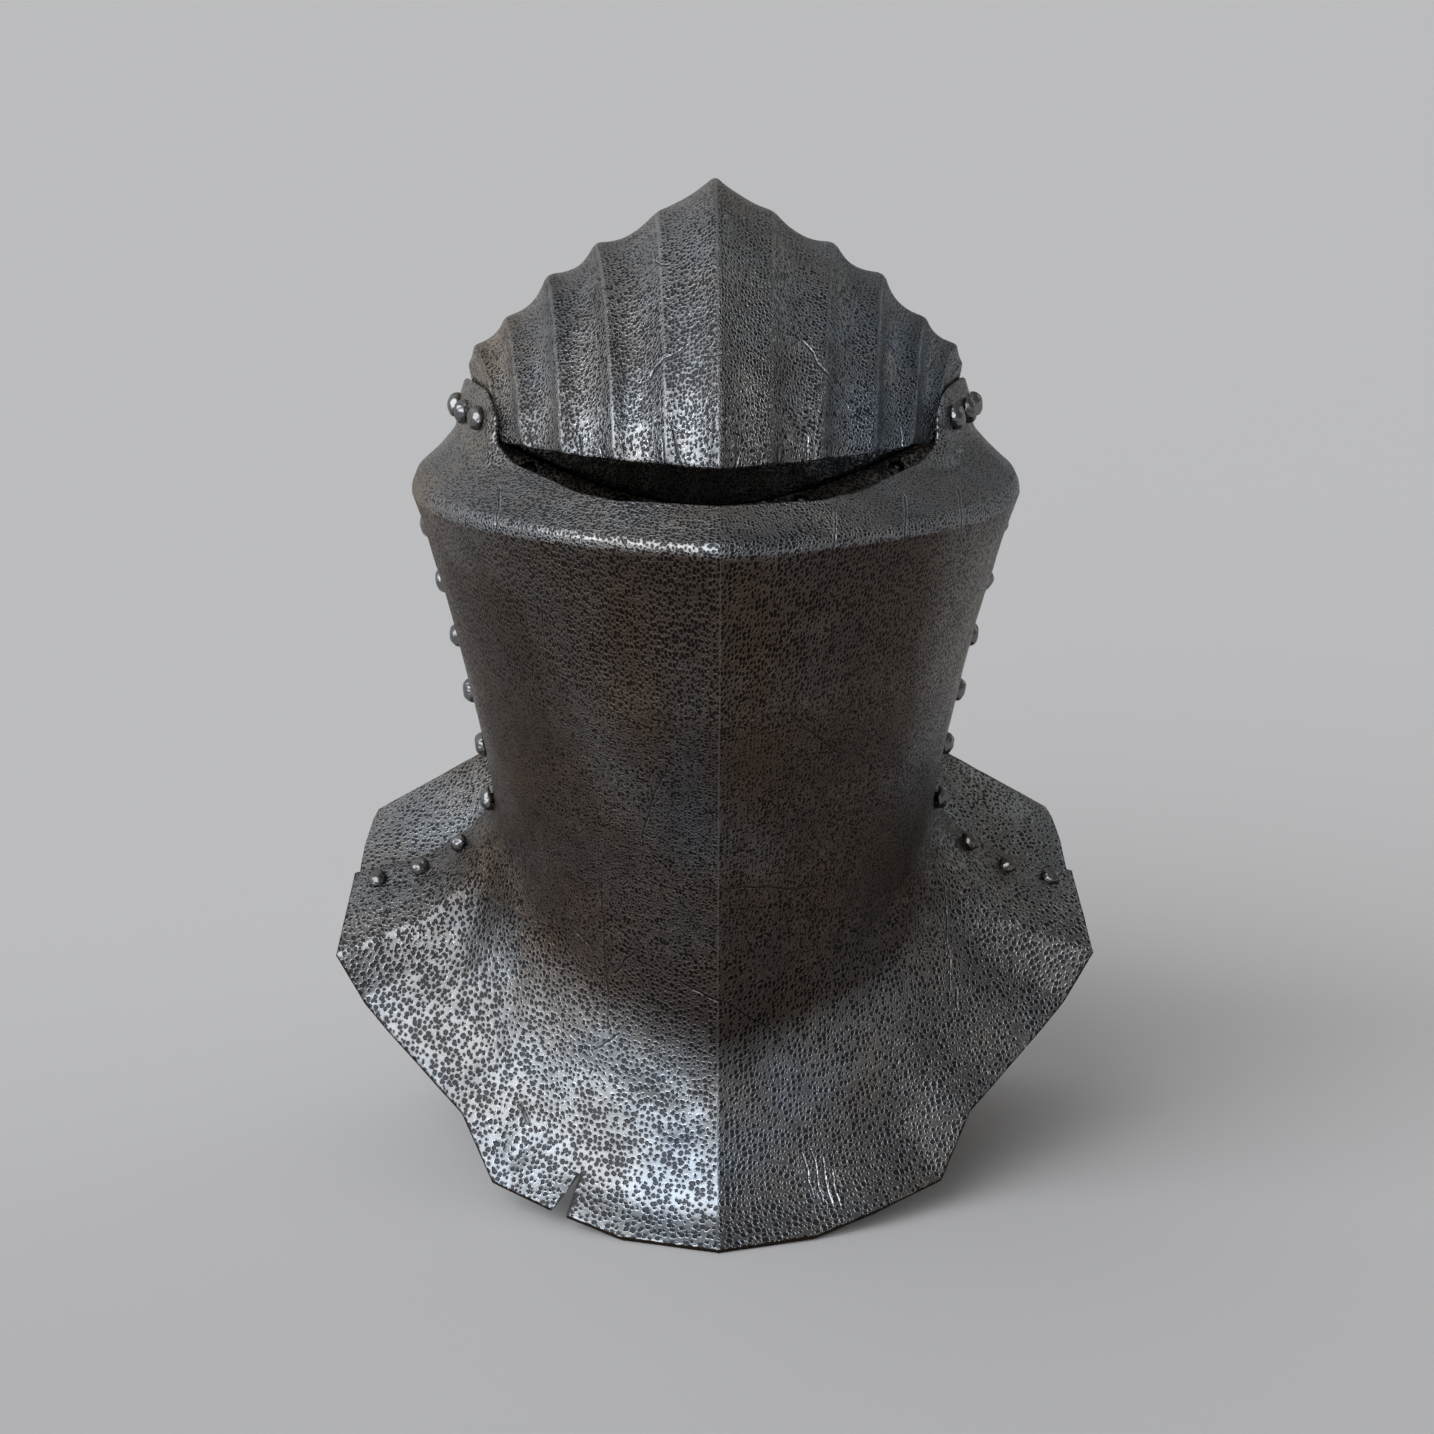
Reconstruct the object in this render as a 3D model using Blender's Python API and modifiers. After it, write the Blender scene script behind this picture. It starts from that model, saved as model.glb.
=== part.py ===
"""Frog-mouth jousting helm: crown, front plate and back plate, riveted together.

Metres, +Z up, the face looks along -Y. The helm stands on its own lower rim at z = 0.
The tables are in millimetres, measured from the axis of the neck; CENTRE_Y then moves
everything so that the origin is at the bottom centre of the whole helm.
"Left" and "right" are the wearer's: left is +X.
"""
import math
from collections import namedtuple

import bmesh
import bpy
import numpy as np
from mathutils import Matrix, Vector
from mathutils.bvhtree import BVHTree

MM = 0.001
CENTRE_Y = 38.5              # from the neck's axis to the middle of the helm's depth

# Sheet thicknesses and fits
FRONT_THICKNESS = 3.5
CROWN_THICKNESS = 2.5
BACK_THICKNESS = 2.5
GAP = 0.3                    # air kept between neighbouring pieces
CROWN_SLACK = 0.5            # extra room between the crown and the back plate inside it
BACK_SLACK = 1.0             # extra room between the front plate and the back plate inside it
SEAT_SLACK = 0.3             # extra room under the rivets' heads and tails
SEAM_Y = 12.0                # rear edge of the front plate, down both sides
REAR_OVERLAP = 14.0          # how far the back plate reaches up inside the crown

# Rivets
HEAD_RADIUS = 5.6
HEAD_HEIGHT = 4.0
SHANK_RADIUS = 2.5
TAIL_RADIUS = 4.0
TAIL_HEIGHT = 1.4
DOME_SHOULDER = (0.66, 0.24)     # shares of the head's radius, and of its height below the top
TAIL_TAPER = 0.8
RIVET_SIDES = 8
SEAT_POINTS = 12                 # how many points round a rivet's seat are felt for

# The crown. One row for each line that runs from the sight over the top to the nape:
# where it starts on the sight's upper edge, where it crosses the highest cross-section,
# and where it ends on the back plate (0 at the side seam, 1 at the middle of the nape).
FluteLine = namedtuple("FluteLine", "name edge_x edge_y edge_z top_x top_z rear_at")
FLUTE_LINES = (
    FluteLine("ridge", 0.0, -168.0, 359.5, 0.0, 466.0, 1.00),
    FluteLine("crest_1", 22.0, -156.5, 359.5, 26.0, 449.0, 0.87),
    FluteLine("crest_2", 44.0, -144.5, 359.5, 51.0, 436.5, 0.74),
    FluteLine("crest_3", 67.0, -128.0, 359.5, 72.6, 422.5, 0.60),
    FluteLine("crest_4", 84.5, -110.0, 359.5, 93.6, 403.5, 0.45),
    FluteLine("crest_5", 94.5, -92.0, 357.5, 107.4, 391.0, 0.29),
    FluteLine("crest_6", 97.5, -79.0, 354.0, 109.8, 382.5, 0.15),
    FluteLine("lower_edge", 103.0, -60.0, 350.0, 108.6, 350.0, 0.00),
)
TOP_Y = -40.0                                    # the highest cross-section
FLUTE_DEPTHS = (2.2, 2.7, 2.9, 2.6, 1.6, 0.4, 2.2)     # how far each flute sinks below its chord
FLUTE_STEPS = 3
CROWN_STEPS_FRONT = 6
CROWN_STEPS_REAR = 5
CROWN_CENTRE = (0.0, -30.0, 320.0)               # the flutes are sunk towards this point
FLUTE_FADE = 20.0            # height above the back plate over which the flutes run out
LAP_SHARES = (1.0, 0.5, 0.0)                     # rows over the lap, its top to the border
LAP_ABOVE = 2.0              # how far the first of those rows is above the back plate's top
LAP_STARTS_AT = 0.05         # round from the seam to where the crown stands clear of the back,
LAP_FULL_AT = 0.27           # and to where the overlap has its full height
SEAM_RISE = 4.0              # the crown's border is this far above the back plate at the seam
SEAM_RUN = 14.0              # length of the lower edge over which the lap rows fan out
SEAM_TUCK = 1.8              # how far the crown is tucked in there, under the front plate

# How full the lines over the crown are: each handle's share of the way, along x, y and z
LEAN = (0.15, 0.15, 0.38)    # from the sight towards the top
BROW = (0.49, 0.49, 0.0)     # back from the top towards the sight
POLL = (0.55, 0.60, 0.0)     # back from the top towards the lap
NAPE = 0.5                   # up from the lap, along the back plate's own slope

# The front plate's cross-sections, top to bottom: each is one cubic curve in plan from the
# medial ridge to the side seam, with its height at the ridge and at the seam.
Section = namedtuple("Section", "name z_front z_side forward near_x near_y wide_x wide_y side_x")
FRONT_SECTIONS = (
    Section("lip_top", 334.5, 336.0, 199.0, 71.0, -180.5, 154.0, -112.0, 131.0),
    Section("lip_nose", 332.0, 329.0, 201.0, 73.0, -182.0, 157.0, -112.0, 132.5),
    Section("lip_bottom", 328.0, 321.5, 199.0, 72.0, -180.0, 154.0, -110.0, 131.5),
    Section("under_lip", 308.0, 300.0, 192.0, 68.0, -171.0, 139.0, -105.0, 129.3),
    Section("neck_high", 275.0, 268.0, 181.0, 61.0, -158.0, 127.0, -98.0, 121.3),
    Section("neck_middle", 218.0, 222.0, 150.5, 53.0, -130.0, 115.0, -82.0, 111.3),
    Section("neck_low", 152.0, 192.0, 125.0, 49.0, -106.0, 106.5, -71.0, 106.0),
    Section("throat", 82.0, 170.0, 110.0, 48.0, -92.0, 102.0, -62.0, 104.3),
)

# Upper border of the front plate: lower edge of the sight, then round the temple tab.
EdgePoint = namedtuple("EdgePoint", "at x y z")
UPPER_EDGE = (
    EdgePoint(0.00, 0.0, -177.0, 346.5),
    EdgePoint(0.24, 42.0, -167.0, 346.5),
    EdgePoint(0.35, 58.0, -150.0, 347.0),
    EdgePoint(0.50, 79.7, -118.5, 350.5),
    EdgePoint(0.56, 88.5, -107.0, 352.5),
    EdgePoint(0.62, 96.0, -97.5, 358.0),
    EdgePoint(0.67, 98.0, -91.0, 369.0),
    EdgePoint(0.72, 102.0, -78.0, 376.5),
    EdgePoint(0.79, 108.0, -59.0, 378.0),
    EdgePoint(0.86, 112.3, -40.0, 377.0),
    EdgePoint(0.92, 114.5, -22.0, 374.0),
    EdgePoint(1.00, 116.0, SEAM_Y, 367.0),
)

# Lower rim of the front plate, as worn: a blunt tongue on the chest, a steep side to it,
# then the long edge up to the shoulder's corner.
FRONT_RIM = (
    EdgePoint(0.00, 0.0, -137.5, 1.8),
    EdgePoint(0.24, 43.5, -122.0, 2.0),
    EdgePoint(0.35, 71.5, -108.5, 8.5),
    EdgePoint(0.50, 102.5, -85.5, 14.8),
    EdgePoint(0.56, 116.5, -70.5, 42.5),
    EdgePoint(0.62, 128.0, -57.5, 50.5),
    EdgePoint(0.72, 152.0, -38.5, 71.5),
    EdgePoint(0.79, 163.7, -26.5, 81.5),
    EdgePoint(0.86, 176.5, -24.0, 104.0),
    EdgePoint(0.92, 173.4, -8.0, 118.0),
    EdgePoint(1.00, 170.4, 18.0, 132.0),
)

# How the shelf of the lip climbs to the upper border: share of the way in, share of the
# rise at the brow, share of the rise at the temples where the plate sweeps up.
ShelfStep = namedtuple("ShelfStep", "inward rise_brow rise_temple")
SHELF_STEPS = (
    ShelfStep(0.30, 0.26, 0.09),
    ShelfStep(0.58, 0.54, 0.21),
    ShelfStep(0.86, 0.84, 0.43),
)
# How the plates flare from the throat to the rim: share of the way out, and share of the
# way down at the chest, at the side seams and on the back plate's shoulder wings.
FlareStep = namedtuple("FlareStep", "outward down_chest down_seam down_wing")
FLARE_STEPS = (
    FlareStep(0.08, 0.32, 0.22, 0.09),
    FlareStep(0.23, 0.59, 0.47, 0.23),
    FlareStep(0.47, 0.83, 0.72, 0.46),
)
FRONT_LONGEST_STEP = 0.085
TEMPLE_FROM, TEMPLE_WIDTH = 0.5, 0.2     # where round the shelf its rise changes over

# The back plate's cross-sections match the front plate's at the side seam: height and
# depth at the middle of the back, and how much the section lifts over the shoulders.
BackSection = namedtuple("BackSection", "name z_rear rear_y lift")
BACK_SECTIONS = (
    BackSection("top", 292.0, 106.5, 0.0),
    BackSection("lip_nose", 281.0, 107.0, 0.0),
    BackSection("lip_bottom", 268.0, 106.0, 0.0),
    BackSection("under_lip", 254.0, 103.0, 0.0),
    BackSection("neck_high", 237.0, 98.0, 0.0),
    BackSection("neck_middle", 220.0, 92.0, 6.0),
    BackSection("neck_low", 204.0, 88.0, 14.0),
    BackSection("throat", 190.0, 86.0, 26.0),
)
BACK_TOP_SIDE = (113.6, 345.0)     # x and z of the top border where it meets the seam
LIFT_AT = 0.35                     # where round the back the shoulders lift most
BACK_RIM = (
    EdgePoint(0.14, 167.5, 45.0, 138.5),
    EdgePoint(0.22, 165.5, 65.0, 144.0),
    EdgePoint(0.28, 163.5, 78.0, 146.0),
    EdgePoint(0.38, 150.0, 92.0, 116.0),
    EdgePoint(0.48, 132.0, 103.0, 84.0),
    EdgePoint(0.58, 112.0, 109.0, 50.0),
    EdgePoint(0.70, 88.0, 113.0, 20.0),
    EdgePoint(0.82, 55.0, 119.0, -3.0),
    EdgePoint(1.00, 0.0, 125.0, -3.0),
)
BACK_LONGEST_STEP = 0.075
LAP_COLUMNS = 2                    # columns of the back plate that lie under the front plate

# The torn notch in the chest's rim, on the wearer's right: mouth and tip on the rim
NOTCH_MOUTH = ((-84.0, -8.0), (-71.5, -10.0))
NOTCH_TIP = (-61.5, 24.0)
NOTCH_FROM_Y, NOTCH_TO_Y = -120.0, -20.0
FLOOR_BLOCK = (600.0, 600.0, 100.0)     # what is cut away below z = 0

# Rivet centres as seen from the side (y, z), from above (x, y) and round the nape
TEMPLE_RIVETS = ((-78.0, 365.5), (-54.0, 364.5), (-30.0, 363.5))
SEAM_RIVET_Y = 0.0
SEAM_RIVET_TOP, SEAM_RIVET_PITCH, SEAM_RIVET_COUNT = 303.0, 26.0, 6
SHOULDER_RIVETS = ((118.5, 4.0), (138.0, 6.0), (158.5, 8.0))
RAY_FROM_SIDE = 220.0        # rivets are placed by rays from out here
RAY_FROM_ABOVE = 185.0
HOLE_DEPTH = 24.0
PROBE = 22.0                 # how far off a plate its surface is felt for
NAPE_RIVETS = (1.00, 0.74, 0.45)


def curve(p0, p1, p2, p3, t):
    """Cubic curve through p0 and p3, pulled towards p1 and p2, at the values t."""
    t = np.asarray(t, float)[..., None]
    s = 1.0 - t
    return s**3 * p0 + 3 * s * s * t * p1 + 3 * s * t * t * p2 + t**3 * p3


def ease(t):
    """Smooth step from 0 to 1."""
    t = np.clip(t, 0.0, 1.0)
    return t * t * (3.0 - 2.0 * t)


def along(table, at):
    """Points of an edge table, read at the values `at` with straight lines between rows."""
    keys = [row.at for row in table]
    return np.stack([np.interp(at, keys, [getattr(row, axis) for row in table])
                     for axis in ("x", "y", "z")], axis=-1)


def stations(table, longest):
    """Every value of `at` in the table, with wide intervals split evenly."""
    found = [table[0].at]
    for row in table[1:]:
        count = math.ceil((row.at - found[-1]) / longest - 1e-6)
        start = found[-1]
        found += [start + (row.at - start) * (k + 1) / count for k in range(count)]
    return np.array(found)


def surface_normals(points):
    """Unit normals of a grid of points, pointing to the outside of the helm."""
    down = np.gradient(points, axis=0)
    across = np.gradient(points, axis=1)
    normals = np.cross(down, across)
    return normals / np.linalg.norm(normals, axis=-1, keepdims=True)


def front_plate_grid():
    """Outer surface of the left half: rows from the sight to the rim, columns ridge to seam."""
    at = stations(FRONT_RIM, FRONT_LONGEST_STEP)
    rows = []
    for section in FRONT_SECTIONS:
        plan = curve(np.array([0.0, -section.forward]), np.array([section.near_x, section.near_y]),
                     np.array([section.wide_x, section.wide_y]), np.array([section.side_x, SEAM_Y]), at)
        height = section.z_front + (section.z_side - section.z_front) * ease(at)
        rows.append(np.column_stack([plan, height]))
    lip, throat = rows[0], rows[-1]
    edge = along(UPPER_EDGE, at)
    temple = ease((at - TEMPLE_FROM) / TEMPLE_WIDTH)
    shelf = []
    for step in reversed(SHELF_STEPS):
        rise = step.rise_brow + (step.rise_temple - step.rise_brow) * temple
        plan = lip[:, :2] + (edge[:, :2] - lip[:, :2]) * step.inward
        shelf.append(np.column_stack([plan, lip[:, 2] + (edge[:, 2] - lip[:, 2]) * rise]))
    downs = [step.down_chest + (step.down_seam - step.down_chest) * ease(at) for step in FLARE_STEPS]
    flare = flare_rows(throat, along(FRONT_RIM, at), downs)
    return np.stack([edge] + shelf + rows + flare)


def flare_rows(throat, rim, downs):
    """Rows between the throat and the rim, ending with the rim itself."""
    rows = []
    for step, down in zip(FLARE_STEPS, downs):
        plan = throat[:, :2] + (rim[:, :2] - throat[:, :2]) * step.outward
        rows.append(np.column_stack([plan, throat[:, 2] + (rim[:, 2] - throat[:, 2]) * down]))
    return rows + [rim]


def back_plate_grid(front):
    """Outer surface of the left half: rows top to rim, columns from under the front plate
    round to the middle of the back."""
    inset = FRONT_THICKNESS + GAP + BACK_SLACK
    first_row = len(SHELF_STEPS) + 1           # the front plate's lip_top
    lapped = (front - surface_normals(front) * inset)[first_row:, -1 - LAP_COLUMNS:]
    lapped[0, :, 0] = BACK_TOP_SIDE[0]
    lapped[0, :, 2] = BACK_TOP_SIDE[1]
    seam = lapped[:, -1]
    start = EdgePoint(0.0, *seam[-1])
    rim_table = (start,) + BACK_RIM
    at = stations(rim_table, BACK_LONGEST_STEP)[1:]
    turn = at * math.pi / 2
    lift = np.where(at < LIFT_AT, ease(at / LIFT_AT), ease((1.0 - at) / (1.0 - LIFT_AT)))
    rows = []
    for section, side in zip(BACK_SECTIONS, seam):
        x = side[0] * np.cos(turn)
        y = side[1] + (section.rear_y - side[1]) * np.sin(turn)
        z = side[2] + (section.z_rear - side[2]) * ease(at) + section.lift * lift
        rows.append(np.column_stack([x, y, z]))
    downs = [step.down_seam + (step.down_wing - step.down_seam) * lift for step in FLARE_STEPS]
    rows += flare_rows(rows[-1], along(rim_table, at), downs)
    return np.concatenate([lapped, np.stack(rows)], axis=1), at


def crown_grid(back, back_at):
    """Outer surface of the left half: rows from the sight over the top to the nape."""
    centre = np.array(CROWN_CENTRE)
    columns = []
    for first, second, depth in zip(FLUTE_LINES, FLUTE_LINES[1:], FLUTE_DEPTHS):
        start = crown_line(first, back, back_at)
        end = crown_line(second, back, back_at)
        for k in range(FLUTE_STEPS):
            share = k / FLUTE_STEPS
            own = crown_line(between(first, second, share), back, back_at)
            chord = start + (end - start) * share
            inward = centre - chord
            inward /= np.linalg.norm(inward, axis=1, keepdims=True)
            lap_top = own[-len(LAP_SHARES), 2]
            keep = ease((own[:, 2:] - lap_top) / FLUTE_FADE)
            hollow = inward * depth * 4 * share * (1 - share)
            columns.append(own + (chord + hollow - own) * keep)
    columns.append(end)
    grid = np.stack(columns, axis=1)
    grid[:, 0, 0] = 0.0
    return grid


def between(first, second, share):
    """The table row at this share of the way from one flute line to the next."""
    numbers = [a + (b - a) * share for a, b in zip(first[1:], second[1:])]
    return FluteLine(first.name, *numbers)


def crown_line(row, back, back_at):
    """One line over the crown: up from the sight, over the top, down and over the back plate."""
    edge = np.array([row.edge_x, row.edge_y, row.edge_z])
    top = np.array([row.top_x, TOP_Y, row.top_z])
    lap = np.stack([lap_point(row.rear_at, share, back, back_at) for share in LAP_SHARES])
    climb = lap[0] - lap[1]
    climb /= max(np.linalg.norm(climb), 1e-9)
    rise = top - edge
    drop = top - lap[0]
    lean = edge + rise * np.array(LEAN)
    brow = top - rise * np.array(BROW)
    poll = top - drop * np.array(POLL)
    nape = lap[0] + climb * drop[2] * NAPE
    front_part = curve(edge, lean, brow, top, np.linspace(0, 1, CROWN_STEPS_FRONT + 1))
    rear_part = curve(top, poll, nape, lap[0], np.linspace(0, 1, CROWN_STEPS_REAR + 1))
    return np.concatenate([front_part, rear_part[1:], lap[1:]])


def lap_point(at, share, back, back_at):
    """A point of the crown just outside the back plate: share 0 is on the crown's border
    and share 1 is above the back plate's top. At the seam it tucks in under the front plate."""
    keys = np.concatenate([[0.0], back_at])
    columns = back[:, LAP_COLUMNS:]
    normals = surface_normals(columns)
    rows = len(BACK_SECTIONS)
    lapped = ease(at / LAP_FULL_AT)
    overlap = REAR_OVERLAP * lapped - SEAM_RISE * (1 - lapped)
    column = np.array([[np.interp(at, keys, columns[r, :, k]) for k in range(3)] for r in range(rows)])
    normal = np.array([[np.interp(at, keys, normals[r, :, k]) for k in range(3)] for r in range(rows)])
    z = column[0, 2] - overlap + share * (max(overlap, 0.0) + LAP_ABOVE)
    order = np.argsort(column[:, 2])
    point = np.array([np.interp(z, column[order, 2], column[order, k]) for k in range(3)])
    away = np.array([np.interp(z, column[order, 2], normal[order, k]) for k in range(3)])
    climb = column[0] - column[1]
    point += climb / climb[2] * max(z - column[0, 2], 0.0)
    tucked = 1.0 - ease(at / LAP_STARTS_AT)
    offset = (CROWN_THICKNESS + GAP + CROWN_SLACK) * (1 - tucked) - SEAM_TUCK * tucked
    point += away / np.linalg.norm(away) * offset
    point[1] -= share * SEAM_RUN * tucked
    return point


def material(name, colour, roughness):
    """Plain steel, in one flat tone."""
    made = bpy.data.materials.new(name)
    made.use_nodes = True
    shader = made.node_tree.nodes["Principled BSDF"]
    shader.inputs["Base Color"].default_value = (*colour, 1.0)
    shader.inputs["Metallic"].default_value = 1.0
    shader.inputs["Roughness"].default_value = roughness
    return made


def add_object(name, mesh, collection, finish=None):
    made = bpy.data.objects.new(name, mesh)
    collection.objects.link(made)
    if finish is not None:
        mesh.materials.append(finish)
    return made


def plate(name, grid, thickness, flip, collection, finish):
    """A sheet of steel: half of its outer surface, mirrored, then thickened inwards."""
    rows, columns = grid.shape[:2]
    points = grid.reshape(-1, 3) + np.array([0.0, CENTRE_Y, 0.0])
    index = np.arange(rows * columns).reshape(rows, columns)
    quads = np.stack([index[:-1, :-1], index[1:, :-1], index[1:, 1:], index[:-1, 1:]], axis=-1)
    if flip:
        quads = quads[..., ::-1]
    mesh = bpy.data.meshes.new(name)
    mesh.from_pydata((points * MM).tolist(), [], quads.reshape(-1, 4).tolist())
    mesh.shade_smooth()
    made = add_object(name, mesh, collection, finish)
    mirror = made.modifiers.new("other_half", "MIRROR")
    mirror.merge_threshold = 0.00005
    solid = made.modifiers.new("sheet", "SOLIDIFY")
    solid.thickness = thickness * MM
    solid.offset = -1.0
    solid.use_even_offset = True
    solid.use_quality_normals = True
    return made


def evaluated_tree(item):
    """Search tree over an object's surface as its modifiers leave it."""
    graph = bpy.context.evaluated_depsgraph_get()
    return BVHTree.FromObject(item, graph)


def cutter(name, mesh, collection):
    made = add_object(name, mesh, collection)
    made.hide_render = True
    made.display_type = "WIRE"
    return made


def subtract(item, tool):
    cut = item.modifiers.new(tool.name, "BOOLEAN")
    cut.operation = "DIFFERENCE"
    cut.object = tool


def highest_hit(tree, centre, outward, radius):
    """Greatest height along `outward` that the surface reaches under a disc at the centre."""
    side = outward.orthogonal().normalized()
    other = outward.cross(side)
    best = -1.0
    for k in range(SEAT_POINTS + 1):
        angle = k * math.tau / SEAT_POINTS
        reach = radius if k else 0.0
        start = centre + (side * math.cos(angle) + other * math.sin(angle)) * reach + outward * PROBE * MM
        hit = tree.ray_cast(start, -outward)[0]
        if hit is not None:
            best = max(best, (hit - centre).dot(outward))
    return best


def rivet(name, point, outward, trees, collection, finish):
    """A domed rivet through two plates, seated on the outer one and closed on the inner."""
    outer_tree, inner_tree = trees
    head_seat = highest_hit(outer_tree, point, outward, HEAD_RADIUS * MM) / MM + GAP + SEAT_SLACK
    inside = point - outward * PROBE * MM
    reach = highest_hit(inner_tree, inside, -outward, TAIL_RADIUS * MM) / MM
    tail_seat = -PROBE - reach - GAP - SEAT_SLACK
    crown = head_seat + HEAD_HEIGHT
    profile = [(0.0, crown),
               (HEAD_RADIUS * DOME_SHOULDER[0], crown - HEAD_HEIGHT * DOME_SHOULDER[1]),
               (HEAD_RADIUS, head_seat), (SHANK_RADIUS, head_seat), (SHANK_RADIUS, tail_seat),
               (TAIL_RADIUS, tail_seat), (TAIL_RADIUS * TAIL_TAPER, tail_seat - TAIL_HEIGHT),
               (0.0, tail_seat - TAIL_HEIGHT)]
    mesh = bpy.data.meshes.new(name)
    mesh.from_pydata([(r * MM, 0.0, z * MM) for r, z in profile],
                     [(k, k + 1) for k in range(len(profile) - 1)], [])
    made = add_object(name, mesh, collection, finish)
    made.matrix_world = pose(point, outward)
    turned = made.modifiers.new("turned", "SCREW")
    turned.steps = RIVET_SIDES
    turned.render_steps = RIVET_SIDES
    turned.use_merge_vertices = True
    turned.merge_threshold = 0.00001
    return made


def pose(point, outward):
    """Matrix that stands an object's +Z along `outward` at the point."""
    return Matrix.Translation(point) @ outward.to_track_quat("Z", "Y").to_matrix().to_4x4()


def surface_point(tree, start, direction):
    """Where a ray meets a plate, and the plate's outward direction there."""
    hit, normal = tree.ray_cast(start, direction)[:2]
    return hit, -direction if normal.dot(direction) > 0 else normal


def rivet_places(trees, lap_middle):
    """Name, point, outward direction and the two plates of every rivet on the left half."""
    places = []
    inwards = Vector((-1, 0, 0))
    crown, front, back = trees["crown"], trees["front"], trees["back"]
    for k, (y, z) in enumerate(TEMPLE_RIVETS, 1):
        start = Vector((RAY_FROM_SIDE, y + CENTRE_Y, z)) * MM
        places.append(("temple_rivet", k, *surface_point(front, start, inwards), (front, crown)))
    for k in range(SEAM_RIVET_COUNT):
        height = SEAM_RIVET_TOP - SEAM_RIVET_PITCH * k
        start = Vector((RAY_FROM_SIDE, SEAM_RIVET_Y + CENTRE_Y, height)) * MM
        places.append(("seam_rivet", k + 1, *surface_point(front, start, inwards), (front, back)))
    for k, (x, y) in enumerate(SHOULDER_RIVETS, 1):
        start = Vector((x, y + CENTRE_Y, RAY_FROM_ABOVE)) * MM
        places.append(("shoulder_rivet", k, *surface_point(front, start, Vector((0, 0, -1))), (front, back)))
    for k, at in enumerate(NAPE_RIVETS, 1):
        angle = at * math.pi / 2
        away = Vector((math.cos(angle), math.sin(angle), 0.0))
        start = away * RAY_FROM_SIDE + Vector((0.0, CENTRE_Y, lap_middle(at)))
        places.append(("nape_rivet", k, *surface_point(crown, start * MM, -away), (crown, back)))
    return places


def mirrored(vector):
    return Vector((-vector.x, vector.y, vector.z))


def add_rivets(places, holes, collection, finish):
    """Every rivet, and the clearance holes that they pass through."""
    hole_radius = (SHANK_RADIUS + GAP) * MM
    for kind, number, point, outward, pair in places:
        if point.x > HEAD_RADIUS * MM:
            sides = [("left", point, outward), ("right", mirrored(point), mirrored(outward))]
        else:
            upright = Vector((0.0, outward.y, outward.z)).normalized()
            sides = [("middle", Vector((0.0, point.y, point.z)), upright)]
        for side, place, out in sides:
            rivet(f"{kind}_{side}_{number}", place, out, pair, collection, finish)
            bmesh.ops.create_cone(holes, cap_ends=True, segments=RIVET_SIDES, radius1=hole_radius,
                                  radius2=hole_radius, depth=HOLE_DEPTH * MM, matrix=pose(place, out))


def notch_cutter(collection):
    """A wedge that tears the V-shaped notch out of the chest's rim."""
    wedge = bmesh.new()
    outline = (NOTCH_MOUTH[0], NOTCH_TIP, NOTCH_MOUTH[1])
    corners = [wedge.verts.new((x * MM, NOTCH_FROM_Y * MM, z * MM)) for x, z in outline]
    face = wedge.faces.new(corners)
    pulled = bmesh.ops.extrude_face_region(wedge, geom=[face])["geom"]
    far_corners = [item for item in pulled if isinstance(item, bmesh.types.BMVert)]
    depth = Vector((0.0, (NOTCH_TO_Y - NOTCH_FROM_Y) * MM, 0.0))
    bmesh.ops.translate(wedge, vec=depth, verts=far_corners)
    bmesh.ops.recalc_face_normals(wedge, faces=wedge.faces)
    mesh = bpy.data.meshes.new("notch_cutter")
    wedge.to_mesh(mesh)
    wedge.free()
    return cutter("notch_cutter", mesh, collection)


def floor_cutter(collection):
    """A block below z = 0 that leaves flat feet on both tongues."""
    block = bmesh.new()
    place = Matrix.Translation((0.0, 0.0, -FLOOR_BLOCK[2] / 2 * MM))
    size = Matrix.Diagonal((*(edge * MM for edge in FLOOR_BLOCK), 1.0))
    bmesh.ops.create_cube(block, size=1.0, matrix=place @ size)
    mesh = bpy.data.meshes.new("floor_cutter")
    block.to_mesh(mesh)
    block.free()
    return cutter("floor_cutter", mesh, collection)


def build():
    for item in list(bpy.data.objects):
        bpy.data.objects.remove(item)
    helm = bpy.data.collections.new("frog_mouth_helm")
    cutters = bpy.data.collections.new("cutters")
    bpy.context.scene.collection.children.link(helm)
    bpy.context.scene.collection.children.link(cutters)

    front = front_plate_grid()
    back, back_at = back_plate_grid(front)
    crown = crown_grid(back, back_at)
    skull_plate = plate("skull_plate", crown, CROWN_THICKNESS, True, helm,
                        material("crown_steel", (0.16, 0.155, 0.15), 0.42))
    front_plate = plate("front_plate", front, FRONT_THICKNESS, False, helm,
                        material("front_steel", (0.15, 0.145, 0.14), 0.40))
    back_plate = plate("back_plate", back, BACK_THICKNESS, False, helm,
                       material("back_steel", (0.155, 0.15, 0.145), 0.42))
    bpy.context.view_layer.update()

    trees = {"crown": evaluated_tree(skull_plate), "front": evaluated_tree(front_plate),
             "back": evaluated_tree(back_plate)}
    holes = bmesh.new()
    places = rivet_places(trees, lambda at: lap_point(at, 0.5, back, back_at)[2])
    add_rivets(places, holes, helm, material("rivet_steel", (0.2, 0.195, 0.19), 0.38))
    mesh = bpy.data.meshes.new("rivet_holes")
    holes.to_mesh(mesh)
    holes.free()
    drill = cutter("rivet_holes", mesh, cutters)
    floor = floor_cutter(cutters)
    for sheet in (front_plate, back_plate):
        subtract(sheet, floor)
    subtract(front_plate, notch_cutter(cutters))
    for sheet in (skull_plate, front_plate, back_plate):
        subtract(sheet, drill)


build()
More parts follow.
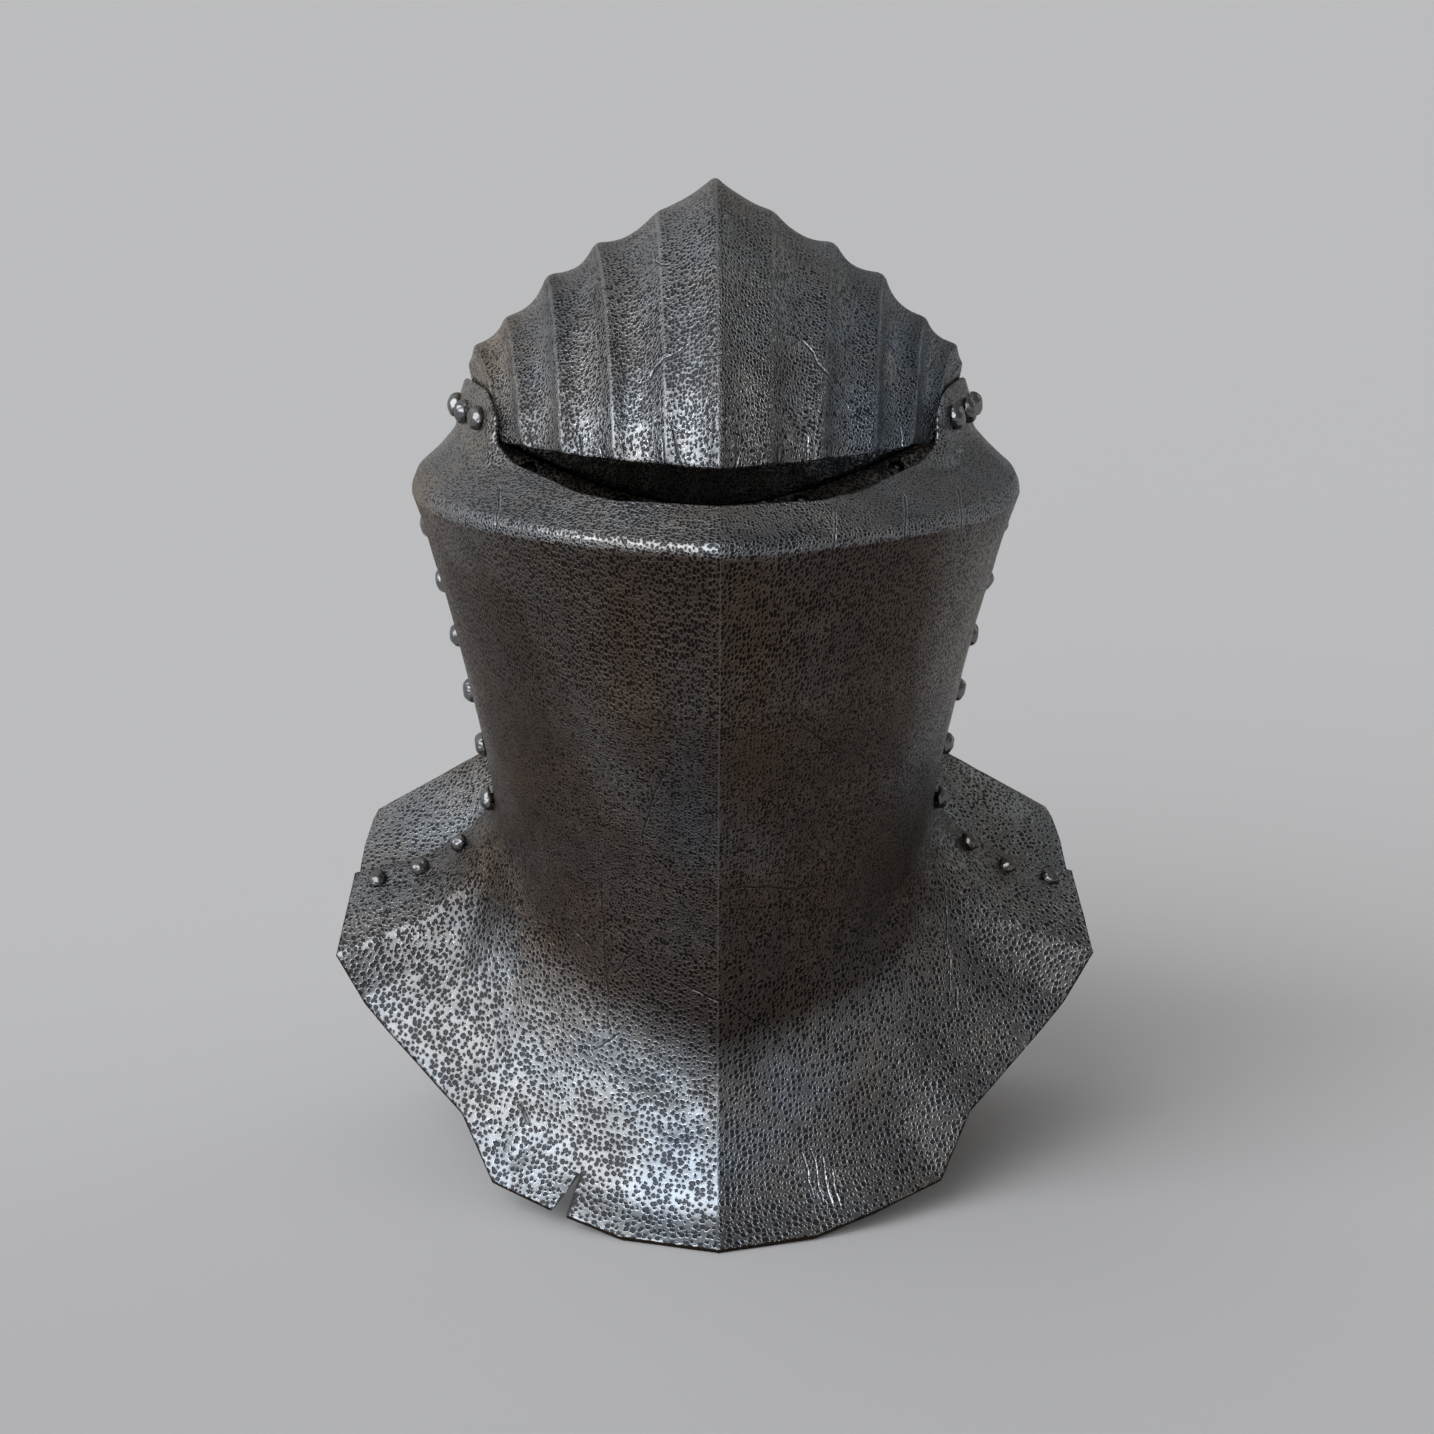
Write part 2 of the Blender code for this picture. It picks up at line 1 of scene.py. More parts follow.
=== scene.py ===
# %% [markdown]
# # A frog-mouth jousting helm
#
# A jousting helm of this kind is three pieces of steel sheet riveted together: a fluted
# skull plate, a thick front plate whose upper edge juts out as the lip of the frog's mouth,
# and a back plate. The wearer sees out through the slit between the skull and the lip only
# while leaning forward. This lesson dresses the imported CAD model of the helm: it gives each
# plate a finely curved surface with wear in it, and a pitted steel material.
#
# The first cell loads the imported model. Its nodes stay fixed, and everything made here is
# placed from them.

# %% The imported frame
import math

import bpy
import numpy as np
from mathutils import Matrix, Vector


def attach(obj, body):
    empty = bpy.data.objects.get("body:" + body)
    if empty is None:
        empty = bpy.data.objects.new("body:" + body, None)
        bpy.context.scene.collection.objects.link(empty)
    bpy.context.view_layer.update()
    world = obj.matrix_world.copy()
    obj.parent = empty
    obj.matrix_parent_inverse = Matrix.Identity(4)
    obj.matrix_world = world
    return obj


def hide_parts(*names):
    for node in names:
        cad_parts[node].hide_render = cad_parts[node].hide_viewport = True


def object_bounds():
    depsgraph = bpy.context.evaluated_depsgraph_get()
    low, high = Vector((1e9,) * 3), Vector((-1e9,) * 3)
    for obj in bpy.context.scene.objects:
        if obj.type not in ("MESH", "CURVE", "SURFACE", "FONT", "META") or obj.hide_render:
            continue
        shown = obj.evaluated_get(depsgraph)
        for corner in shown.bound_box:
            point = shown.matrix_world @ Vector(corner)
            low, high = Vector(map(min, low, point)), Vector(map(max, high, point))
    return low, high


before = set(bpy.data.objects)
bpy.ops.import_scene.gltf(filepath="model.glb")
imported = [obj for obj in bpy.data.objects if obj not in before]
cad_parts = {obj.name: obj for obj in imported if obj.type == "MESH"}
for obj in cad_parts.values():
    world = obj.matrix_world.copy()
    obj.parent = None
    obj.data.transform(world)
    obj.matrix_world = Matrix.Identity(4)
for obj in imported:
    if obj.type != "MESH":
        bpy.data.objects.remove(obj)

cad_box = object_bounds()
MM = 0.001
CENTRE_Y = 38.5              # from the axis of the neck to the middle of the helm's depth, mm

# %% [markdown]
# ## Curves that the plates are made of
#
# Armour plate is raised over stakes, so its surface runs smoothly from one form to the next.
# A Subdivision Surface modifier would pull every form inwards, while a spline runs through
# its cross-sections exactly. The centripetal Catmull-Rom spline has no loops or overshoots,
# even where the steps between the sections differ a lot, as they do at the lip.

# %% Curves
def ease(t):
    """Smooth step: 3t^2 - 2t^3, with t held between 0 and 1."""
    t = np.clip(t, 0.0, 1.0)
    return t * t * (3.0 - 2.0 * t)


def cubic(p0, p1, p2, p3, t):
    """Bezier cubic: each corner weighed by a Bernstein polynomial of t."""
    t = np.asarray(t, float)[..., None]
    s = 1.0 - t
    return s**3 * p0 + 3 * s * s * t * p1 + 3 * s * t * t * p2 + t**3 * p3


def spline(points, counts):
    """Centripetal Catmull-Rom spline along the first axis of a grid of points.
    Between rows k and k+1 it makes counts[k] steps. Knots are the running sum of the square
    root of the distance between rows, one set for each column, and each new point comes from
    three rounds of straight-line mixing between those knots."""
    ends = 2 * points[:1] - points[1:2], 2 * points[-1:] - points[-2:-1]
    points = np.concatenate([ends[0], points, ends[1]])
    steps = np.sqrt(np.linalg.norm(np.diff(points, axis=0), axis=-1, keepdims=True)) + 1e-6
    knots = np.concatenate([np.zeros_like(steps[:1]), np.cumsum(steps, axis=0)])
    rows = []
    for k, count in enumerate(counts):
        p, t = points[k:k + 4], knots[k:k + 4]
        share = np.linspace(0, 1, count, endpoint=False)[:, None, None]
        now = t[1] + (t[2] - t[1]) * share
        a = [p[i] + (p[i + 1] - p[i]) * (now - t[i]) / (t[i + 1] - t[i]) for i in range(3)]
        b = [a[i] + (a[i + 1] - a[i]) * (now - t[i]) / (t[i + 2] - t[i]) for i in range(2)]
        rows.append(b[0] + (b[1] - b[0]) * (now - t[1]) / (t[2] - t[1]))
    return np.concatenate(rows + [points[-2:-1]])


def straight(points, counts):
    """The same rows as spline(), but on straight lines, so that corners stay sharp."""
    rows = [p + (q - p) * np.linspace(0, 1, n, endpoint=False)[:, None, None]
            for p, q, n in zip(points, points[1:], counts)]
    return np.concatenate(rows + [points[-1:]])


def unit(vectors):
    return vectors / np.linalg.norm(vectors, axis=-1, keepdims=True)


def surface_normals(points):
    """Unit normals of a grid: the cross product of its two directions of travel."""
    return unit(np.cross(np.gradient(points, axis=0), np.gradient(points, axis=1)))


def travelled(points, axis):
    """How long the way to each point of a grid is, along one axis."""
    steps = np.diff(points, axis=axis, prepend=points.take([0], axis=axis))
    return np.linalg.norm(steps, axis=-1).cumsum(axis=axis)


# %% [markdown]
# ## The shape of the plates
#
# The tables below are nearly the ones that the CAD solids were built from, in millimetres
# from the axis of the neck, with the face looking along -Y. Only the edges of the lip and
# the depth of the flutes are drawn sharper here. The front plate is a stack of
# cross-sections. Each one is a cubic curve in plan, from the keel in the middle of the face
# round to the side seam, with its height at both ends.

# %% Tables of the front plate
FRONT_THICKNESS, CROWN_THICKNESS, BACK_THICKNESS = 3.5, 2.5, 2.5
GAP, CROWN_SLACK, BACK_SLACK = 0.3, 0.5, 1.0         # between plates that lie on each other
SEAM_Y = 12.0

# z at the keel, z at the seam, keel's -y, first handle x y, second handle x y, x at the seam
FRONT_SECTIONS = np.array([
    (333.8, 336, 199.5, 72, -181, 158, -112, 127),
    (332, 332, 200.3, 73, -182, 160, -112, 128.5),
    (330, 328, 200.8, 73, -182, 160, -111, 129.5),
    (308, 300, 192, 68, -171, 139, -105, 129.3),
    (275, 268, 181, 61, -158, 127, -98, 121.3),
    (218, 222, 150.5, 53, -130, 115, -82, 111.3),
    (152, 192, 125, 49, -106, 106.5, -71, 106),
    (82, 170, 110, 48, -92, 102, -62, 104.3),
])
# share of the way round from the keel (0) to the seam (1), then x, y, z
UPPER_EDGE = np.array([
    (0.00, 0, -177, 346.5), (0.24, 42, -167, 346.5), (0.35, 58, -150, 347),
    (0.50, 79.7, -118.5, 350.5), (0.56, 88.5, -107, 352.5), (0.62, 96, -97.5, 358),
    (0.67, 98, -91, 369), (0.72, 102, -78, 376.5), (0.79, 108, -59, 378),
    (0.86, 112.3, -40, 377), (0.92, 114.5, -22, 374), (1.00, 116, SEAM_Y, 367),
])
FRONT_RIM = np.array([
    (0.00, 0, -137.5, 1.8), (0.24, 43.5, -122, 2), (0.35, 71.5, -108.5, 8.5),
    (0.50, 102.5, -85.5, 14.8), (0.56, 116.5, -70.5, 42.5), (0.62, 128, -57.5, 50.5),
    (0.72, 152, -38.5, 71.5), (0.79, 163.7, -26.5, 81.5), (0.86, 176.5, -24, 104),
    (0.92, 173.4, -8, 118), (1.00, 170.4, 18, 132),
])
# shares of the way from the lip to the edge: inwards, and up at the brow and at the temple
SHELF_STEPS = ((0.30, 0.26, 0.13), (0.58, 0.54, 0.26), (0.86, 0.84, 0.43))
# shares of the way from the throat to the rim: outwards, and down at the chest, seam and wing
FLARE_STEPS = ((0.08, 0.32, 0.22, 0.09), (0.23, 0.59, 0.47, 0.23), (0.47, 0.83, 0.72, 0.46))
LONGEST_STEP = 0.085         # between columns of the cage, as a share of the way round


# %% Cage of the front plate
def along(table, at):
    """Points of an edge table at the values `at`, on straight lines between its rows."""
    return np.stack([np.interp(at, table[:, 0], table[:, axis]) for axis in (1, 2, 3)], axis=-1)


def stations(table, longest):
    """Every share in a table, with the wide gaps between them split evenly."""
    keys = table[:, 0]
    counts = np.ceil(np.diff(keys) / longest - 1e-6).astype(int)
    parts = [np.linspace(a, b, n, endpoint=False) for a, b, n in zip(keys, keys[1:], counts)]
    return np.concatenate(parts + [keys[-1:]])


def between(first, second, outward, down):
    """A row between two others: one share of the way for x and y, and another for z."""
    return first + (second - first) * np.stack(np.broadcast_arrays(outward, outward, down), axis=-1)


def flare_rows(throat, rim, downs):
    """Rows from the throat to the rim."""
    return [between(throat, rim, out, down) for (out, *_), down in zip(FLARE_STEPS, downs)] + [rim]


def front_cage():
    """Left half of the front plate, keel to seam: the upper edge, three rows over the shelf
    of the lip, eight cross-sections, and four rows down the flare to the rim."""
    at = stations(FRONT_RIM, LONGEST_STEP)
    rows = []
    for z_front, z_side, forward, near_x, near_y, wide_x, wide_y, side_x in FRONT_SECTIONS:
        corners = np.array([(0, -forward), (near_x, near_y), (wide_x, wide_y), (side_x, SEAM_Y)])
        rows.append(np.column_stack([cubic(*corners, at), z_front + (z_side - z_front) * ease(at)]))
    edge, lip = along(UPPER_EDGE, at), rows[0]
    temple = ease((at - 0.5) / 0.2)
    shelf = [between(lip, edge, inward, brow_rise + (temple_rise - brow_rise) * temple)
             for inward, brow_rise, temple_rise in reversed(SHELF_STEPS)]
    downs = [chest + (seam - chest) * ease(at) for _, chest, seam, _ in FLARE_STEPS]
    return np.stack([edge] + shelf + rows + flare_rows(rows[-1], along(FRONT_RIM, at), downs)), at


front_rows, front_at = front_cage()
print("front plate cage", front_rows.shape[:2], "lip reaches y =", front_rows[..., 1].min(), "mm")

# %% [markdown]
# ## The back plate
#
# The back plate lies inside the front plate at the side seams, where the two are riveted.
# Its first columns are therefore the front plate's own last columns, moved inwards by the
# sheet's thickness. From there each row is a quarter of an ellipse round to the middle of
# the back, and the shoulder wings lift where the upper arms would be.

# %% Tables and cage of the back plate
# height and depth at the middle of the back, and how far the row lifts over the shoulders
BACK_SECTIONS = np.array([
    (292, 106.5, 0), (281, 107, 0), (268, 106, 0), (254, 103, 0),
    (237, 98, 0), (220, 92, 6), (204, 88, 14), (190, 86, 26),
])
BACK_TOP_SIDE = (113.6, 345.0)       # x and z of the upper corner, under the temple
LIFT_AT = 0.35                       # where the shoulder wings lift most
BACK_RIM = np.array([
    (0.14, 167.5, 45, 138.5), (0.22, 165.5, 65, 144), (0.28, 163.5, 78, 146),
    (0.38, 150, 92, 116), (0.48, 132, 103, 84), (0.58, 112, 109, 50),
    (0.70, 88, 113, 20), (0.82, 55, 119, -3), (1.00, 0, 125, -3),
])
BACK_LONGEST_STEP = 0.075
LAP_COLUMNS = 2                      # columns before the seam, under the front plate


def back_cage(front):
    """Left half of the back plate, from under the front plate round to the middle."""
    inset = FRONT_THICKNESS + GAP + BACK_SLACK
    first_row = len(SHELF_STEPS) + 1
    lapped = (front - surface_normals(front) * inset)[first_row:, -1 - LAP_COLUMNS:]
    lapped[0, :, 0], lapped[0, :, 2] = BACK_TOP_SIDE
    seam = lapped[:, -1]
    rim_table = np.vstack([[0.0, *seam[-1]], BACK_RIM])
    at = stations(rim_table, BACK_LONGEST_STEP)[1:]
    turn = at * math.pi / 2
    lift = np.where(at < LIFT_AT, ease(at / LIFT_AT), ease((1.0 - at) / (1.0 - LIFT_AT)))
    rows = []
    for (z_rear, rear_y, raised), side in zip(BACK_SECTIONS, seam):
        rows.append(np.column_stack([
            side[0] * np.cos(turn),
            side[1] + (rear_y - side[1]) * np.sin(turn),
            side[2] + (z_rear - side[2]) * ease(at) + raised * lift]))
    downs = [side + (wing - side) * lift for *_, side, wing in FLARE_STEPS]
    rows += flare_rows(rows[-1], along(rim_table, at), downs)
    return np.concatenate([lapped, np.stack(rows)], axis=1), at


back_rows, back_at = back_cage(front_rows)
print("back plate cage", back_rows.shape[:2], "reaches y =", back_rows[..., 1].max(), "mm")

# %% [markdown]
# ## The skull plate
#
# The crown is fluted: crests run from the sight over the top of the head to the nape, with a
# shallow hollow between each two. Each crest is a line of two cubic curves that meet on the
# highest cross-section. The hollows sink towards a point inside the head, and they run out
# where the skull overlaps the back plate.

# %% Tables of the skull plate
# x y z on the sight's edge, x and z on the highest section, share round the back plate
FLUTE_LINES = np.array([
    (0, -168, 359.5, 0, 466, 1.00), (22, -156.5, 359.5, 26, 450.5, 0.87),
    (44, -144.5, 359.5, 53, 436.5, 0.74), (67, -128, 359.5, 74.6, 422.5, 0.60),
    (84.5, -110, 359.5, 93.6, 403.5, 0.45), (94.5, -92, 357.5, 107.4, 391, 0.29),
    (97.5, -79, 354, 109.8, 382.5, 0.15), (103, -60, 350, 108.6, 350, 0.00),
])
TOP_Y = -40.0                # y of the highest cross-section
FLUTE_DEPTHS = (1.9, 3.8, 4.2, 3.8, 2.4, 0.4, 2.2)
FLUTE_STEPS = 5              # columns in a flute
STEPS_FRONT, STEPS_REAR = 6, 5
CROWN_CENTRE = np.array((0.0, -30.0, 320.0))
FLUTE_FADE = 20.0            # height over which a flute runs out at the nape
LAP_SHARES = (1.0, 0.5, 0.0)
LAP_ABOVE, LAP_STARTS_AT, LAP_FULL_AT = 2.0, 0.05, 0.27
REAR_OVERLAP, SEAM_RISE, SEAM_RUN, SEAM_TUCK = 14.0, 4.0, 14.0, 1.8
# handles of the two cubics in a crest, as shares of the way: at the sight, before the top,
# behind the top, and at the nape
LEAN, BROW, POLL, NAPE = (0.15, 0.15, 0.38), (0.49, 0.49, 0.0), (0.55, 0.60, 0.0), 0.5

# %% Where the crown laps over the back plate
BACK_COLUMNS = back_rows[:, LAP_COLUMNS:]
BACK_NORMALS = surface_normals(BACK_COLUMNS)[:len(BACK_SECTIONS)]
BACK_COLUMNS = BACK_COLUMNS[:len(BACK_SECTIONS)]


def lap_point(at, share):
    """A point of the crown just outside the back plate: share 0 is on the crown's border
    and share 1 is above the back plate's top. At the seam it tucks in under the front plate."""
    keys = np.concatenate([[0.0], back_at])
    lapped = ease(at / LAP_FULL_AT)
    overlap = REAR_OVERLAP * lapped - SEAM_RISE * (1 - lapped)
    column, normal = (np.array([along(np.column_stack([keys, row]), at) for row in grid])
                      for grid in (BACK_COLUMNS, BACK_NORMALS))
    z = column[0, 2] - overlap + share * (max(overlap, 0.0) + LAP_ABOVE)
    order = np.argsort(column[:, 2])
    point, away = (along(np.column_stack([column[:, 2], grid])[order], z)
                   for grid in (column, normal))
    climb = column[0] - column[1]
    point += climb / climb[2] * max(z - column[0, 2], 0.0)
    tucked = 1.0 - ease(at / LAP_STARTS_AT)
    offset = (CROWN_THICKNESS + GAP + CROWN_SLACK) * (1 - tucked) - SEAM_TUCK * tucked
    point += unit(away) * offset
    point[1] -= share * SEAM_RUN * tucked
    return point


# %% Cage of the skull plate
def crown_line(row):
    """One line over the crown: a cubic from the sight to the top, another down to the lap."""
    edge, top = row[:3], np.array([row[3], TOP_Y, row[4]])
    lap = np.stack([lap_point(row[5], share) for share in LAP_SHARES])
    climb = unit(lap[0] - lap[1])
    rise, drop = top - edge, top - lap[0]
    front_part = cubic(edge, edge + rise * LEAN, top - rise * BROW, top,
                       np.linspace(0, 1, STEPS_FRONT + 1))
    rear_part = cubic(top, top - drop * POLL, lap[0] + climb * drop[2] * NAPE, lap[0],
                      np.linspace(0, 1, STEPS_REAR + 1))
    return np.concatenate([front_part, rear_part[1:], lap[1:]])


def crown_cage():
    """Left half of the crown, ridge to lower edge. Inside a flute a point leaves the chord
    between its two crests by depth * 4s(1-s), at the share s of the way across."""
    columns = []
    for first, second, depth in zip(FLUTE_LINES, FLUTE_LINES[1:], FLUTE_DEPTHS):
        start, end = crown_line(first), crown_line(second)
        for share in np.arange(FLUTE_STEPS) / FLUTE_STEPS:
            own = crown_line(first + (second - first) * share)
            chord = start + (end - start) * share
            inward = unit(CROWN_CENTRE - chord)
            keep = ease((own[:, 2:] - own[-len(LAP_SHARES), 2]) / FLUTE_FADE)
            columns.append(own + (chord + inward * depth * 4 * share * (1 - share) - own) * keep)
    grid = np.stack(columns + [end], axis=1)
    grid[:, 0, 0] = 0.0
    return grid


crown_rows = crown_cage()
print("skull plate cage", crown_rows.shape[:2], "top at z =", crown_rows[..., 2].max(), "mm")

# %% [markdown]
# ## From a cage to a fine grid
#
# Each half is refined in both directions and then mirrored into one grid for the whole
# plate. Three places need care. The nose of the lip has a crisp edge above and below, so the
# splines down the plate start anew there. A spline would round off the corners of the rim,
# so the rows near it change over to straight lines. The crown's creases are splined apart
# and then softened by averaging each line of points with its neighbours.

# %% Fine grids
def joined(points, counts, breaks, corner=None):
    """Splines along the first axis, with a crease at each row in `breaks`. `corner` is the
    share of straight line instead of spline, for each line of points."""
    parts = []
    for a, b in zip(breaks, breaks[1:]):
        piece, n = points[a:b + 1], counts[a:b]
        smooth = spline(piece, n)
        if corner is not None:
            smooth = smooth + (straight(piece, n) - smooth) * corner[None, :, None]
        parts.append(smooth if b == breaks[-1] else smooth[:-1])
    return np.concatenate(parts)


def fine(cage, row_counts, row_breaks, column_counts, column_breaks, corner=None):
    """A cage refined along its columns first and then along its rows."""
    across = joined(cage.swapaxes(0, 1), column_counts, column_breaks, corner).swapaxes(0, 1)
    return joined(across, row_counts, row_breaks)


def softened(grid):
    """Rounds creases: each inner column becomes (left + 2 * itself + right) / 4."""
    middle = (grid[:, :-2] + 2 * grid[:, 1:-1] + grid[:, 2:]) / 4
    return np.concatenate([grid[:, :1], middle, grid[:, -1:]], axis=1)


# %% The three plates, refined
MIRROR = np.array([-1.0, 1.0, 1.0])
RIM_CORNERS = 0.0, 0.2, 0.6, 1.0             # how straight the last rows are
# fine rows in each row of the cage
FRONT_ROW_COUNTS = (5, 5, 5, 7, 4, 5, 11, 14, 20, 18, 19, 14, 14, 14, 14)
BACK_ROW_COUNTS = (4, 4, 4, 6, 6, 6, 8, 12, 12, 12, 14)
CROWN_ROW_COUNTS = (12,) * STEPS_FRONT + (11,) * STEPS_REAR + (5, 5)
LIP_TOP, LIP_BOTTOM = 4, 6                   # rows of the front cage with a crisp edge
COLUMNS_PER_STEP = 3
FRONT_STEP, BACK_STEP = 0.0074, 0.0085       # width of a fine column, as a share of the way round
LAP_AT = -0.17, -0.085, 0.0                  # where the back plate's lapped columns lie, likewise


def whole(half):
    """Both halves in one grid: the mirrored columns, then the left ones, sharing the keel."""
    return np.concatenate([half[:, :0:-1] * MIRROR, half], axis=1)


def fine_plate(cage, row_counts, row_breaks, at, step):
    """A fine grid whose columns are about `step` wide. Towards the rim the rows change over
    to straight lines."""
    corner = np.zeros(len(cage))
    corner[-len(RIM_CORNERS):] = RIM_CORNERS
    column_counts = np.maximum(np.round(np.diff(at) / step), 1).astype(int)
    return fine(cage, row_counts, row_breaks, column_counts, (0, cage.shape[1] - 1), corner)


def fine_front(cage):
    breaks = (0, LIP_TOP, LIP_BOTTOM, len(cage) - 1)
    return whole(fine_plate(cage, FRONT_ROW_COUNTS, breaks, front_at, FRONT_STEP))


def fine_back(cage):
    """The columns run from under the front plate to the middle, so the mirrored half follows."""
    at = np.concatenate([LAP_AT, back_at])
    half = fine_plate(cage, BACK_ROW_COUNTS, (0, len(cage) - 1), at, BACK_STEP)
    return np.concatenate([half, half[:, -2::-1] * MIRROR], axis=1)


def fine_crown(cage):
    steps = len(FLUTE_DEPTHS) * FLUTE_STEPS
    return whole(fine(cage, CROWN_ROW_COUNTS, (0, len(cage) - 1),
                      np.full(steps, COLUMNS_PER_STEP), range(0, steps + 1, FLUTE_STEPS)))


front_surface, back_surface = fine_front(front_rows), fine_back(back_rows)
crown_surface = softened(fine_crown(crown_rows))
for name, grid in (("front", front_surface), ("back", back_surface), ("crown", crown_surface)):
    print(name, "grid", grid.shape[:2], "spans", np.ptp(grid.reshape(-1, 3), axis=0).round(1), "mm")

# %% [markdown]
# ## The plates laid flat
#
# The pits in the steel are round and evenly spread, and a pattern that is sliced out of 3-D
# space isn't. So each plate also gets flat coordinates, as if its sheet had been unrolled.
# This layout keeps every triangle of the cage as rigid as it can: turn by turn, each triangle
# gets its best rotation, and then the points move to agree with the rotations.

# %% Flat coordinates
HOLD = 1e4                   # weight that keeps a point where it is, in the least squares


def grid_faces(index):
    """The four corners of every cell in a grid of point numbers."""
    corners = index[:-1, :-1], index[1:, :-1], index[1:, 1:], index[:-1, 1:]
    return np.stack(corners, axis=-1).reshape(-1, 4)


def cotangent(corner, one, other):
    """Cotangent of the angle at `corner`: dot product over the cross product's length."""
    turn = np.conj(one - corner) * (other - corner)
    return np.clip(turn.real / np.maximum(np.abs(turn.imag), 1e-6), 0.05, 20.0)


def flattened(cage, straight_column, rounds=40):
    """A plane layout (u, v, 0) of a cage, in mm. The points in one column stay at u = 0.
    Least squares of w * |(u_i - u_j) - R (x_i - x_j)|^2 over the triangles' edges, where w
    is half the cotangent of the angle that faces the edge. A place in the plane is written
    as one complex number, and then the rotation R is a product."""
    index = np.arange(cage.size // 3).reshape(cage.shape[:2])
    cells = grid_faces(index)
    corners = np.concatenate([cells[:, [0, 1, 2]], cells[:, [0, 2, 3]]])
    p, q, r = cage.reshape(-1, 3)[corners].swapaxes(0, 1)
    length = np.maximum(np.linalg.norm(q - p, axis=1), 1e-3)
    x = ((r - p) * (q - p)).sum(axis=1) / length
    y = np.sqrt(np.maximum(((r - p) ** 2).sum(axis=1) - x * x, 1e-6))
    own = np.stack([0 * x, length, x + 1j * y], axis=1)

    edges, matrix = [], np.zeros((index.size, index.size))
    for i, j, k in ((0, 1, 2), (1, 2, 0), (2, 0, 1)):
        start, end = corners[:, i], corners[:, j]
        weight = 0.5 * cotangent(own[:, k], own[:, i], own[:, j])
        edges.append((start, end, weight * (own[:, i] - own[:, j])))
        for one, other in ((start, end), (end, start)):
            np.add.at(matrix, (one, one), weight)
            np.add.at(matrix, (one, other), -weight)
    held = index[:, straight_column]
    keep_u, keep_v = matrix.copy(), matrix.copy()
    keep_u[held, held] += HOLD
    keep_v[held[0], held[0]] += HOLD
    solve_u, solve_v = np.linalg.inv(keep_u), np.linalg.inv(keep_v)

    across = travelled(cage, 1)
    layout = (across - across[:, straight_column][:, None] - 1j * travelled(cage, 0)).ravel()
    for _ in range(rounds):
        turn = sum((layout[start] - layout[end]) * np.conj(rest) for start, end, rest in edges)
        turn /= np.abs(turn)
        wanted = np.zeros_like(layout)
        for start, end, rest in edges:
            np.add.at(wanted, start, turn * rest)
            np.add.at(wanted, end, -turn * rest)
        layout = solve_u @ wanted.real + 1j * (solve_v @ wanted.imag)
    kept = np.abs(layout[corners[:, 1]] - layout[corners[:, 0]]) / length
    print("laid flat; edges keep", np.percentile(kept, (5, 50, 95)).round(2), "of their length")
    return np.stack([layout.real, layout.imag, 0 * layout.real], axis=1).reshape(cage.shape)


front_plan = fine_front(flattened(front_rows, 0))
back_plan = fine_back(flattened(back_rows, -1))
crown_plan = fine_crown(flattened(crown_rows, 0))

# %% [markdown]
# ## Wear in the metal
#
# A hammered sheet is never quite even, and this one has been hit, too. The surface moves
# along its own normal by sums of many sine waves in random directions, which give soft lumps
# of one size, and by a few dents at stated places.

# %% Lumps and dents
def lumps(points, size, seed, waves=28):
    """Random smooth field, about -1 to 1: the mean of sine waves whose length is near `size`,
    each with its own direction and start."""
    random = np.random.default_rng(seed)
    direction = unit(random.normal(size=(waves, 3)))
    pitch = math.tau / (size * random.uniform(0.75, 1.35, waves))
    start = random.uniform(0, math.tau, waves)
    flat = points.reshape(-1, 3) @ (direction * pitch[:, None]).T + start
    return (np.sin(flat).sum(axis=1) / math.sqrt(waves)).reshape(points.shape[:2])


# x, y, z of the middle, radius, depth (a negative depth stands proud)
FRONT_DENTS = np.array([
    (-115.8, -35.7, 106.6, 4.5, 0.8), (-88, -75.5, 43.5, 4, 1), (-90, -80, 32, 5, 0.9),
    (-92, -83, 26, 4, 0.8), (-71, -95, 24, 6, 0.7), (-30, -100, 59, 6, 0.9),
    (-8, -108.5, 62, 5.5, 0.8), (-19, -107, 47, 6, -0.6), (115, -44.6, 87.7, 4, 0.7),
    (111, -47, 88, 3, 0.6), (60, -80, 60, 9, 0.7), (-60, -84, 70, 10, 0.6),
    (44, -104, 30, 13, -0.5), (86, -53, 130, 8, -0.7),
])
CROWN_DENTS = np.array([
    (-34, -141, 372, 7, 0.7), (30, -146, 371, 7, 0.8), (50, -130, 374, 8, -0.8),
    (-58, -127, 377, 7, 0.6), (12, -152, 380, 6, -0.5), (-12, -150, 376, 7, -0.5),
    (70, -30, 430, 12, 0.9), (-40, 40, 425, 14, 1),
])
LARGE_LUMP, SMALL_LUMP = 60.0, 17.0          # how far apart, mm
# how deep the large and the small lumps are, mm, and the seed
FRONT_HAMMER, CROWN_HAMMER, BACK_HAMMER = (0.16, 0.09, 11), (0.18, 0.11, 21), (0.20, 0.10, 31)


def hammered(points, large, small, seed, dents=()):
    """Moves a grid along its normals by two sizes of lumps, `large` and `small` mm deep, and
    then in by depth * exp(-(distance / radius)^2) for each dent."""
    normals = surface_normals(points)
    shift = large * lumps(points, LARGE_LUMP, seed) + small * lumps(points, SMALL_LUMP, seed + 1)
    points = points + normals * shift[..., None]
    for *middle, radius, depth in dents:
        distance = np.linalg.norm(points - np.array(middle), axis=-1)
        points = points - normals * (depth * np.exp(-(distance / radius) ** 2))[..., None]
    return points


front_surface = hammered(front_surface, *FRONT_HAMMER, FRONT_DENTS)
crown_surface = hammered(crown_surface, *CROWN_HAMMER, CROWN_DENTS)
back_surface = hammered(back_surface, *BACK_HAMMER)
print("hammered; the crown now tops at z =", crown_surface[..., 2].max().round(2), "mm")

